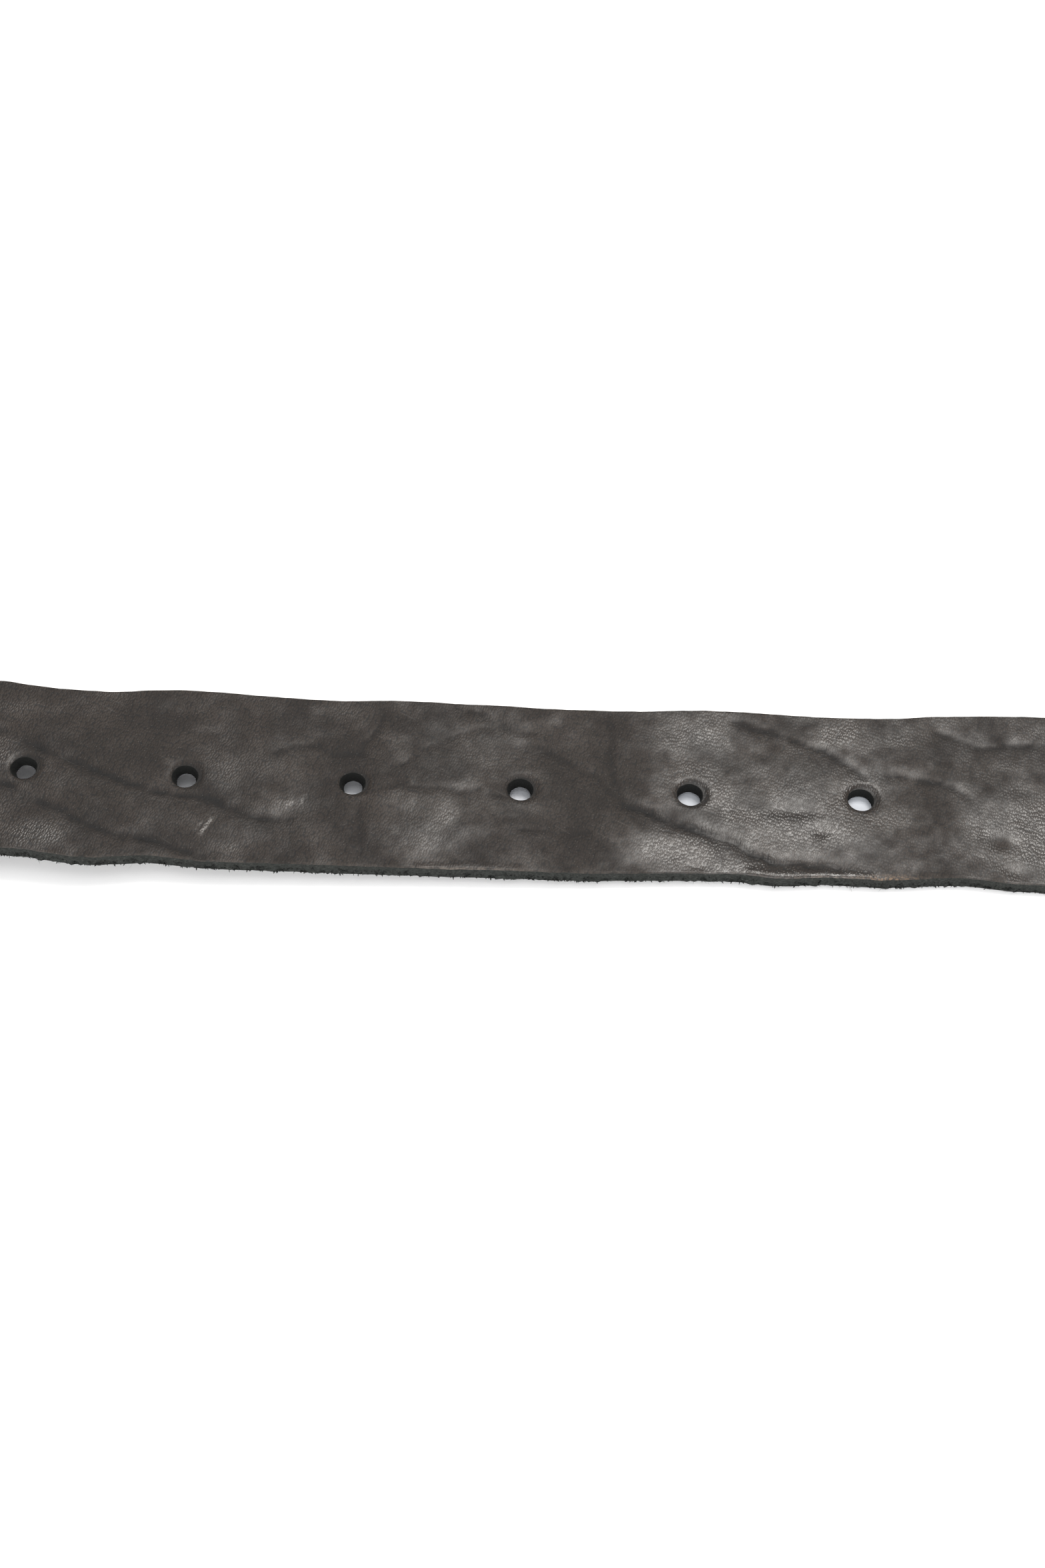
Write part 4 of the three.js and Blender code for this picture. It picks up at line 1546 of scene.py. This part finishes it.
@dataclass
class EdgeFibres:
    """Loose fibres and tufts along the raw cut, in one joined mesh of thin tapered spikes."""

    form: StrapForm
    near_per_mm: float = 24.0
    far_per_mm: float = 2.4
    far_smooth_share: float = 0.35
    far_rough_from: float = 180.0
    elsewhere_per_mm: float = 0.9
    none_before_fold: float = 60.0
    tuft_share: float = 0.4
    hair_share: float = 0.0025
    sunk_root: float = 0.12
    lowest: float = 0.06
    lowest_end: float = 0.04
    tuft_taper: float = 0.28
    fibre_taper: float = 0.7
    rings: int = 4
    sides: int = 3
    seed: int = 5

    def roots(self, rng: np.random.Generator) -> tuple[Array, Array]:
        """Where each fibre leaves the cut.

        Args:
            rng: The source of all the random values.

        Returns:
            The places along the strap and the side of each, -1 near and 1 far.
        """
        form = self.form
        start, rough, end = form.photo_start, self.far_rough_from, form.photo_end
        rest = form.bar_along - end - self.none_before_fold
        near = rng.uniform(start, end, int((end - start) * self.near_per_mm))
        few = int((rough - start) * self.far_per_mm * self.far_smooth_share)
        far_smooth = rng.uniform(start, rough, few)
        far_rough = rng.uniform(rough, end, int((end - rough) * self.far_per_mm))
        other = rng.uniform(end, end + rest, int(2 * rest * self.elsewhere_per_mm))
        tip = rng.uniform(form.tip_length, start, int(2 * start * self.elsewhere_per_mm))
        run = np.concatenate([near, far_smooth, far_rough, other, tip])
        either = np.where(rng.uniform(size=len(other) + len(tip)) < 0.5, -1.0, 1.0)
        side = np.concatenate([-np.ones(len(near)), np.ones(len(far_smooth) + len(far_rough)), either])
        return run + Ripple(0.4, 0.8, 1.0, 92).at(run, 0.0), side

    def build(self, material: Material) -> Object:
        """Builds all the fibres.

        A fibre's line is root + way * t + curl * t * t, and its radius shrinks from the root to a point as
        (1 - t) ** fibre taper, or in a blunt tuft as (1 - t) ** tuft taper.

        Args:
            material: The cut's material.

        Returns:
            The fibres' object.
        """
        rng = np.random.default_rng(self.seed)
        run, side = self.roots(rng)
        number = len(run)
        tuft = rng.uniform(size=number) < self.tuft_share
        hair = rng.uniform(size=number) < self.hair_share
        level = np.where(tuft, rng.uniform(-0.98, 0.2, number), rng.uniform(-0.95, 0.9, number))
        root = self.form.place(run, side * self.form.half, level, np.zeros(number), -self.sunk_root * side)
        length = rng.gamma(2.5, 0.06, number) * (1 + Ripple(0.7, 1.9, 1.0, 93).at(run, 0.0)) + 0.04
        length = np.where(tuft, 0.55 * length + 0.1, length)
        length = np.where(hair, rng.uniform(0.5, 1.1, number), length) + 0.14
        radius = np.where(tuft, rng.uniform(0.07, 0.16, number), rng.uniform(0.014, 0.028, number))
        way = np.stack([rng.normal(0, 0.6, number), side, rng.normal(-0.35, 0.5, number)], axis=1)
        way *= (length / np.linalg.norm(way, axis=1))[:, None]
        curl = rng.normal(0, 0.4, (number, 3)) * length[:, None]
        t = np.linspace(0, 1, self.rings + 1)[:-1]
        line = root[:, None] + way[:, None] * t[:, None] + curl[:, None] * (t**2)[:, None]
        line[..., 2] = np.maximum(line[..., 2], self.lowest)
        end = root + way + curl
        end[:, 2] = np.maximum(end[:, 2], self.lowest_end)
        first = np.cross(way, [0.3, 0.1, 1.0])
        first /= np.linalg.norm(first, axis=1)[:, None]
        second = np.cross(way, first)
        second /= np.linalg.norm(second, axis=1)[:, None]
        angle = round_angles(self.sides)[:, None]
        round_it = first[:, None] * np.cos(angle) + second[:, None] * np.sin(angle)
        thin = radius[:, None] * (1 - t) ** np.where(tuft, self.tuft_taper, self.fibre_taper)[:, None]
        shell = line[:, :, None] + round_it[:, None] * thin[:, :, None, None]
        points = np.concatenate([shell.reshape(number, -1, 3), end[:, None]], axis=1)
        points = points.reshape(-1, 3)
        return make_piece("edge_fibres", points, self.faces(number), [material], sharp_deg=180)

    def faces(self, number: int) -> list[list[int]]:
        """The faces of that many fibres: the tubes first, then their points, then their flat roots."""
        each = self.rings * self.sides + 1
        tube = tube_quads(self.rings, self.sides, closed=False)
        last = np.arange((self.rings - 1) * self.sides, self.rings * self.sides)
        point = np.stack([last, np.roll(last, -1), np.full(self.sides, each - 1)], axis=1)
        base = np.arange(self.sides)[::-1][None]
        shift = np.arange(number)[:, None, None] * each
        blocks = [(block + shift).reshape(-1, block.shape[1]).tolist() for block in (tube, point, base)]
        return sum(blocks, [])


def round_angles(sides: int) -> Array:
    """The angles of a circle's points, evenly spaced."""
    return np.arange(sides) * 2 * math.pi / sides


def swept(
    line: Array,
    first_way: Array,
    second_way: Array,
    first_offset: Array,
    second_offset: Array,
) -> Array:
    """A section carried along a line: line + first_way * first_offset + second_way * second_offset.

    Args:
        line: One row of x, y, z for each station.
        first_way: The section's first direction, a row for each station or one for all.
        second_way: Its second direction.
        first_offset: For each station, the section's points in the first direction.
        second_offset: The same in the second direction.

    Returns:
        One row for each point of each station.
    """
    first = first_way[:, None] * first_offset[..., None]
    second = second_way[:, None] * second_offset[..., None]
    return (line[:, None] + first + second).reshape(-1, 3)


def rounded_section(
    half_wide: float, half_high: float, corner: float, per_corner: int = 4
) -> tuple[Array, Array]:
    """The outline of a rectangle with round corners, turning left.

    Args:
        half_wide: Half its size in the first direction.
        half_high: Half its size in the second direction.
        corner: The corners' radius.
        per_corner: Steps in each corner's quarter circle.

    Returns:
        The points in the first and in the second direction.
    """
    quarter = np.linspace(0, math.pi / 2, per_corner + 1)
    angle = np.concatenate([number * math.pi / 2 + quarter for number in range(4)])
    wide_side = np.repeat([1.0, -1.0, -1.0, 1.0], per_corner + 1)
    high_side = np.repeat([1.0, 1.0, -1.0, -1.0], per_corner + 1)
    wide = wide_side * (half_wide - corner) + corner * np.cos(angle)
    high = high_side * (half_high - corner) + corner * np.sin(angle)
    return wide, high


def rounded_loop(half_x: float, half_y: float, corners: Pair, step: float) -> tuple[Array, Array]:
    """A closed line round a rectangle: straight sides joined by quarter circles, turning left.

    Args:
        half_x: Half the rectangle's size in the first direction.
        half_y: Half its size in the second direction.
        corners: The corner radius at the high and at the low end of the first direction.
        step: The wanted distance between points.

    Returns:
        The points (x, y) and the unit vectors out of the loop, one row each.
    """
    high, low = corners
    places, outs = [], []
    ends = ((1, 1, high), (-1, 1, low), (-1, -1, low), (1, -1, high))
    for quarter, (sign_x, sign_y, radius) in enumerate(ends):
        steps = max(4, round(radius * math.pi / 2 / step))
        angle = quarter * math.pi / 2 + np.linspace(0, math.pi / 2, steps + 1)
        out = np.stack([np.cos(angle), np.sin(angle)], axis=1)
        centre = np.array([sign_x * (half_x - radius), sign_y * (half_y - radius)])
        places.append(centre + radius * out)
        outs.append(out)
    starts = [block[0] for block in places]
    for number in range(4):
        start, end = places[number][-1], starts[(number + 1) % 4]
        steps = max(1, round(float(np.linalg.norm(end - start)) / step))
        share = np.linspace(0, 1, steps + 1)[1:-1, None]
        places[number] = np.concatenate([places[number], start + (end - start) * share])
        outs[number] = np.concatenate([outs[number], np.repeat(outs[number][-1:], len(share), axis=0)])
    return np.concatenate(places), np.concatenate(outs)


@dataclass
class Keeper:
    """The keeper loop: a flat leather band, closed round the folded end."""

    low: Array
    high: Array
    thickness: float = 1.6
    outer_corner: float = 2.5
    lip: float = 0.32
    step: float = 0.6
    fill_columns: int = 16
    ragged_reach: float = 0.8
    worn_reach: float = 0.4
    lip_wear_and_highlight: float = 0.5
    uv_shift: float = 40.0

    def section(self, half_wide: float, half_high: float) -> tuple[Array, Array]:
        """The band's outline: a rounded rectangle with more points along its two flat faces."""
        wide, high = rounded_section(half_wide, half_high, self.lip)
        flat = half_wide - self.lip
        fill = np.linspace(flat, -flat, self.fill_columns + 2)[1:-1]
        top_end = int(np.argmin(np.abs(wide - flat) + np.abs(high - half_high) * 10))
        wide, high = np.roll(wide, -top_end - 1), np.roll(high, -top_end - 1)
        below = int(np.argmin(np.abs(wide + flat) + np.abs(high + half_high) * 10)) + 1
        level = np.full(self.fill_columns, half_high)
        return (
            np.concatenate([wide[:below], fill[::-1], wide[below:], fill]),
            np.concatenate([high[:below], -level, high[below:], level]),
        )

    def build(self, materials: Sequence[Material]) -> Object:
        """Builds the band: a thin rounded section carried round a rounded rectangle.

        Args:
            materials: The leather's materials, in the order of Side.

        Returns:
            The keeper's object.
        """
        middle = (self.low + self.high) / 2
        half = (self.high - self.low) / 2
        inset = self.thickness / 2
        corner = self.outer_corner - inset
        loop, out = rounded_loop(half[1] - inset, half[2] - inset, (corner, corner), self.step)
        wide, high = self.section(half[0], inset)
        stations, sides = len(loop), len(wide)
        travelled = np.concatenate([[0.0], np.cumsum(np.linalg.norm(np.diff(loop, axis=0), axis=1))])
        wave = Ripple(0.05, 4.0, 4.0, 81).at(travelled[:, None], wide[None])
        ragged = Ripple(0.06, 1.1, 0.2, 82).at(travelled[:, None], np.sign(wide)[None])
        line = np.insert(loop, 0, 0.0, axis=1) + middle
        out_way = np.insert(out, 0, 0.0, axis=1)
        at_side = eased_step(np.abs(wide), half[0] - self.ragged_reach, half[0])
        wide_at = wide + ragged * at_side * np.sign(wide)
        points = swept(line, ALONG, out_way, wide_at, high + wave)
        points[:, 2] = np.maximum(points[:, 2], self.low[2])
        faces = tube_quads(stations, sides, closed=True)
        flat_uv = np.stack([np.repeat(travelled, sides), np.tile(wide + self.uv_shift, stations)], axis=1)
        on_top = np.tile(high, stations)[faces].mean(axis=1) > 0
        at_cut = np.tile(np.abs(wide), stations)[faces].mean(axis=1) > half[0] - 0.6 * self.lip
        side = np.where(at_cut, Side.CUT.value, np.where(on_top, Side.GRAIN.value, Side.FLESH.value))
        near_lip = self.lip_wear_and_highlight * np.exp(-(((half[0] - np.abs(wide)) / self.worn_reach) ** 2)) * (high > 0)
        unmarked = np.zeros(stations * sides)
        attributes = {
            "gloss": np.clip(0.5 + 6 * wave.ravel(), 0, 1),
            "lip": np.tile(near_lip, stations),
            "crease": unmarked,
            "scuff": unmarked,
            "tan": unmarked,
        }
        return make_piece("keeper_band", points, faces.tolist(), materials, face_material=side, uv=flat_uv,
                          attributes=attributes, sharp_deg=50)


@dataclass
class RollerBuckle:
    """The plain buckle: a round wire frame, a rolled sheet roller and a prong."""

    bar_x: float
    bar_z: float
    wire_radius: float = 1.75
    wire_sides: int = 20
    wire_step: float = 0.8
    bar_to_roller: float = 30.0
    inner_width: float = 31.8
    bar_corner: float = 3.0
    roller_corner: float = 3.8
    roller_radius: float = 3.2
    roller_wall: float = 0.9
    roller_length: float = 28.0
    roller_sides: int = 64
    rolled_in: float = 0.34
    rolled_reach: float = 0.4
    groove_depth: float = 0.06
    groove_from_end: float = 1.2
    seam_deg: float = 6.0
    seam_turn_deg: float = -120.0
    prong_width: float = 4.4
    prong_thickness: float = 2.4
    prong_corner_share: float = 0.35
    prong_sink: float = 0.1
    bend_before_roller: float = 1.2
    bend_length: float = 3.4
    bend_drop: float = 2.1
    bend_turn: float = 1.15
    tip_narrowing: float = 0.3
    tip_thinning: float = 0.45
    tip_softening: float = 0.35
    eye_radius: float = 3.0
    eye_wall: float = 1.15
    eye_turn_deg: Pair = (-225.0, 90.0)

    def build_frame(self, material: Material) -> Object:
        """The wire: a circle carried round a rounded rectangle, and drawn a little unevenly.

        Args:
            material: The steel.

        Returns:
            The wire's object.
        """
        half_x, half_y = self.bar_to_roller / 2, self.inner_width / 2 + self.wire_radius
        loop, out = rounded_loop(half_x, half_y, (self.roller_corner, self.bar_corner), self.wire_step)
        stations = len(loop)
        angle = round_angles(self.wire_sides)
        line = np.insert(loop, 2, 0.0, axis=1) + [self.bar_x + half_x, 0.0, self.bar_z]
        out_way = np.insert(out, 2, 0.0, axis=1)
        uneven = Ripple(0.012, 9.0, 2.0, 91).at(np.arange(stations)[:, None], angle[None])
        ring = self.wire_radius * (1 + uneven)
        points = swept(line, out_way, UP, ring * np.cos(angle), ring * np.sin(angle))
        faces = tube_quads(stations, self.wire_sides, closed=True)[:, ::-1].tolist()
        return make_piece("buckle_wire", points, faces, [material], sharp_deg=180)

    def build_roller(self, material: Material) -> Object:
        """The roller: a C of sheet steel with a fine seam, pulled in at both ends beside a shallow groove.

        At a distance e from an end the wall is drawn to its middle by rolled in * (1 - sqrt(1 - s ** 2)),
        where s = 1 - e / rolled reach, and the groove is groove depth * exp(-3 * (e - its place) ** 2).

        Args:
            material: The steel.

        Returns:
            The roller's object.
        """
        outer, inner = self.roller_radius, self.roller_radius - self.roller_wall
        gap = math.radians(self.seam_deg) / 2
        around = self.roller_sides + 1
        turn = np.linspace(gap, 2 * math.pi - gap, around) + math.radians(self.seam_turn_deg)
        angle = np.concatenate([turn, turn[::-1]])
        radius = np.repeat([outer, inner], around)
        half = self.roller_length / 2
        ends = np.array([0.0, 0.05, 0.18, 0.4])
        across = np.concatenate([-half + ends, np.linspace(-half + 2, half - 2, 15), half - ends[::-1]])
        stations, sides = len(across), len(angle)
        from_end = np.minimum(across + half, half - across)[:, None]
        near_end = np.clip(1 - from_end / self.rolled_reach, 0, 1)
        pulled = self.rolled_in * (1 - np.sqrt(1 - near_end**2))
        middle = (outer + inner) / 2
        groove = self.groove_depth * np.exp(-((from_end - self.groove_from_end) ** 2) * 3)
        shape = middle + (radius - middle) * (1 - pulled) - groove * (radius > middle)
        line = across[:, None] * [0.0, 1.0, 0.0] + [self.bar_x + self.bar_to_roller, 0.0, self.bar_z]
        points = swept(line, ALONG, UP, shape * np.cos(angle), shape * np.sin(angle))
        faces = tube_quads(stations, sides, closed=False)[:, ::-1].tolist()
        front = np.arange(self.roller_sides)
        cap = np.stack([front, front + 1, sides - 2 - front, sides - 1 - front], axis=1)
        faces += cap.tolist() + (cap[:, ::-1] + (stations - 1) * sides).tolist()
        return face_outwards(make_piece("buckle_roller", points, faces, [material], sharp_deg=60))

    def build_prong(self, material: Material) -> Object:
        """The prong: a flat-backed bar whose end is rolled into an eye round the buckle's bar.

        Its middle line is most of a circle round the bar, then a straight rise on to the roller, then a
        short bend down. The section is a rectangle with round corners that thickens past the eye and
        narrows to the tip.

        Args:
            material: The steel.

        Returns:
            The prong's object.
        """
        eye_middle = self.eye_radius - self.eye_wall / 2
        turn = np.radians(np.linspace(*self.eye_turn_deg, 40))
        eye = np.stack([eye_middle * np.cos(turn), eye_middle * np.sin(turn)], axis=1)
        top = self.roller_radius + self.prong_thickness / 2 - self.prong_sink
        reach = self.bar_to_roller - self.bend_before_roller
        rise = np.linspace(0, 1, 26)[1:]
        rise_height = eye_middle + (top - eye_middle) * eased_step(rise, 0, 0.8)
        straight = np.stack([rise * reach, rise_height], axis=1)
        bend = np.linspace(0, 1, 9)[1:] * self.bend_turn
        bend_height = top - self.bend_drop * (1 - np.cos(bend))
        tip = np.stack([reach + self.bend_length * np.sin(bend), bend_height], axis=1)
        path = np.concatenate([eye, straight, tip])
        tangent = np.gradient(path, axis=0)
        tangent /= np.linalg.norm(tangent, axis=1)[:, None]
        stations = len(path)
        number = np.arange(stations)
        past_eye = np.clip((number - len(eye)) / len(straight), 0, 1)
        near_tip = eased_step(number / (stations - 1), 0.84, 1.0)
        thick = self.eye_wall + (self.prong_thickness - self.eye_wall) * eased_step(past_eye, 0.0, 0.3)
        thick = thick * (1 - self.tip_thinning * near_tip)
        wide = self.prong_width * (1 - self.tip_narrowing * near_tip)
        section_wide, section_high = rounded_section(1.0, 1.0, self.prong_corner_share)
        line = np.insert(path, 1, 0.0, axis=1) + [self.bar_x, 0.0, self.bar_z]
        normal = np.stack([-tangent[:, 1], np.zeros(stations), tangent[:, 0]], axis=1)
        wide_at, high_at = section_wide * wide[:, None] / 2, section_high * thick[:, None] / 2
        points = swept(line, ACROSS, normal, wide_at, high_at)
        sides = len(section_wide)
        faces = tube_quads(stations, sides, closed=False).tolist()
        faces.append(list(range(sides))[::-1])
        faces.append(list(range((stations - 1) * sides, stations * sides)))
        piece = make_piece("buckle_prong", points, faces, [material], sharp_deg=60)
        rounding = piece.modifiers.new("softened_ends", "BEVEL")
        rounding.width = self.tip_softening * MM
        rounding.segments = 3
        rounding.angle_limit = math.radians(60)
        return face_outwards(piece)


def face_outwards(piece: Object) -> Object:
    """Turns the faces of a closed mesh outwards if its signed volume is below zero."""
    mesh = piece.data
    points = np.empty(len(mesh.vertices) * 3)
    mesh.vertices.foreach_get("co", points)
    points = points.reshape(-1, 3)
    mesh.calc_loop_triangles()
    corners = np.empty(len(mesh.loop_triangles) * 3, dtype=np.int32)
    mesh.loop_triangles.foreach_get("vertices", corners)
    a, b, c = (points[corners.reshape(-1, 3)[:, i]] for i in range(3))
    if np.einsum("ij,ij->i", a, np.cross(b, c)).sum() < 0:
        mesh.flip_normals()
    return piece


@dataclass
class Rivet:
    """A tubular rivet, turned: a domed cap above the strap and a rolled foot below it."""

    node: str
    low: Array
    high: Array
    cap_height: float = 1.3
    cap_round: float = 0.28
    dome_height: float = 0.62
    dome_share: float = 0.86
    foot_height: float = 1.1
    foot_inset: float = 0.5
    stem_radius: float = 1.5
    tube_depth: float = 0.55
    sides: int = 40

    def profile(self) -> Array:
        """Half the rivet's section as (radius, height), from the tube's floor out and up to the dome."""
        radius = (self.high[0] - self.low[0]) / 2
        foot_radius = radius - self.foot_inset
        seat, top = self.high[2] - self.cap_height, self.high[2]
        foot, bottom = self.low[2] + self.foot_height, self.low[2]
        under = np.array([
            [0.55, bottom + self.tube_depth], [1.1, bottom + 0.5], [1.9, bottom + 0.12], [2.5, bottom],
            [foot_radius - 0.35, bottom + 0.08], [foot_radius, bottom + 0.45],
        ])
        stem = np.array([[foot_radius, foot], [self.stem_radius, foot], [self.stem_radius, seat]])
        lean = np.linspace(0, math.pi / 2, 9)
        rim_in, rim_up = self.cap_round * (1 - np.sin(lean)), self.cap_round * (1 - np.cos(lean))
        rim = np.stack([radius - rim_in, seat + rim_up], axis=1)
        share = np.linspace(0, 1, 6)[1:-1]
        side_low, side_high = seat + self.cap_round, top - self.dome_height
        side_radius = radius * (1 - (1 - self.dome_share) * share**2)
        side = np.stack([side_radius, side_low + (side_high - side_low) * share], axis=1)
        inward = np.linspace(0.06, 1, 14)[::-1]
        dome = np.stack([radius * self.dome_share * inward, top - self.dome_height * inward**2.4], axis=1)
        return np.concatenate([under, stem, rim, side, dome])

    def build(self, material: Material) -> Object:
        """Builds the rivet: one closed profile turned about its axis.

        Args:
            material: The steel.

        Returns:
            The rivet's object.
        """
        x, y, _ = (self.low + self.high) / 2
        profile = self.profile()
        ring, height = profile[:, 0][:, None], profile[:, 1][:, None]
        angle = round_angles(self.sides)
        columns = np.broadcast_arrays(x + ring * np.cos(angle), y + ring * np.sin(angle), height)
        poles = [[x, y, self.low[2] + self.tube_depth], [x, y, self.high[2]]]
        points = np.concatenate([np.stack(columns, axis=-1).reshape(-1, 3), poles])
        low_pole, high_pole = len(points) - 2, len(points) - 1
        faces = tube_quads(len(profile), self.sides, closed=False).tolist()
        first = np.arange(self.sides)
        last = (len(profile) - 1) * self.sides + first
        faces += np.stack([np.full(self.sides, low_pole), np.roll(first, -1), first], axis=1).tolist()
        faces += np.stack([last, np.roll(last, -1), np.full(self.sides, high_pole)], axis=1).tolist()
        return face_outwards(make_piece(self.node + "_turned", points, faces, [material], sharp_deg=55))


@dataclass(frozen=True)
class Studio:
    """The floor, the lights and the camera. Sizes and offsets from the target are in mm."""

    target: Triple
    floor: Material
    floor_half: float = 20000.0
    floor_z: float = -0.1
    azimuth_deg: float = 1.45
    elevation_deg: float = 55.0
    distance: float = 326.0
    lens: float = 50.0
    sensor: float = 36.0
    sky: float = 0.5

    def build(self) -> None:
        """Builds all of it."""
        self.build_floor()
        self.build_camera()
        self.build_lights()

    def build_floor(self) -> None:
        """A wide level board just under the belt."""
        half, z = self.floor_half, self.floor_z
        corners = np.array([[-half, -half, z], [half, -half, z], [half, half, z], [-half, half, z]])
        make_piece("floor", corners, [[0, 1, 2, 3]], [self.floor])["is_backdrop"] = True

    def build_camera(self) -> None:
        """The camera, above the near side and looking down at the row of holes."""
        data = bpy.data.cameras.new("camera")
        data.lens = self.lens
        data.sensor_width = self.sensor
        data.clip_start = 0.01
        camera = bpy.data.objects.new("camera", data)
        turn, rise = math.radians(self.azimuth_deg), math.radians(self.elevation_deg)
        back = Vector((math.sin(turn) * math.cos(rise), -math.cos(turn) * math.cos(rise), math.sin(rise)))
        camera.location = (Vector(self.target) + back * self.distance) * MM
        camera.rotation_euler = back.to_track_quat("Z", "Y").to_euler()
        bpy.context.scene.collection.objects.link(camera)
        bpy.context.scene.camera = camera

    def build_lights(self) -> None:
        """An even white room, large soft lights above and in front, and a bright one behind to the right."""
        world = bpy.data.worlds.new("room")
        world.use_nodes = True
        background = world.node_tree.nodes["Background"]
        background.inputs["Color"].default_value = (*WHITE, 1.0)
        background.inputs["Strength"].default_value = self.sky
        bpy.context.scene.world = world
        for box in SOFTBOXES:
            self.add_softbox(box)
        bpy.context.scene.view_settings.view_transform = "Standard"

    def add_softbox(self, box: Softbox) -> None:
        """Adds a soft rectangular light that faces the target."""
        data = bpy.data.lights.new(box.name, "AREA")
        data.shape = "RECTANGLE"
        data.size, data.size_y = (side * MM for side in box.size)
        data.energy = box.watts
        data.color = box.colour
        light = bpy.data.objects.new(box.name, data)
        away = Vector(box.offset)
        light.location = (Vector(self.target) + away) * MM
        light.rotation_euler = away.to_track_quat("Z", "Y").to_euler()
        bpy.context.scene.collection.objects.link(light)


def corners_mm(node: str) -> tuple[Array, Array]:
    """A CAD node's lowest and highest corners, in mm."""
    low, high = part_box(node)
    return np.array(low) / MM, np.array(high) / MM


def main() -> None:
    """Builds the belt's pieces in order round the frame, and the studio."""
    logging.basicConfig(level=logging.INFO, format="%(name)s: %(message)s")
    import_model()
    finishes = Finishes.build()

    strap_low, _ = corners_mm("strap")
    form = StrapForm(tip_x=float(strap_low[0]))
    dress(Strap(form).build(finishes.strap), Slot.STRAP, "strap")
    dress(EdgeFibres(form).build(finishes.cut), Slot.STRAP)

    keeper_low, keeper_high = corners_mm("keeper_loop")
    dress(Keeper(keeper_low, keeper_high).build(finishes.keeper), Slot.KEEPER, "keeper_loop")

    buckle = RollerBuckle(bar_x=form.tip_x + form.bar_along, bar_z=form.bar_height)
    dress(buckle.build_frame(finishes.buckle), Slot.BUCKLE, "roller_buckle")
    dress(buckle.build_roller(finishes.roller), Slot.BUCKLE, "roller_buckle")
    dress(buckle.build_prong(finishes.buckle), Slot.BUCKLE, "roller_buckle")

    for node in ("rivet_by_buckle", "rivet_behind_keeper"):
        low, high = corners_mm(node)
        dress(Rivet(node, low, high).build(finishes.rivet), Slot.RIVET, node)

    aim_along, aim_across, aim_height = CAMERA_AIM
    target = (form.tip_x + form.first_hole + aim_along, form.hole_row + aim_across, aim_height)
    Studio(target, finishes.floor).build()
    low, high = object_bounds()


if __name__ == "__main__":
    main()
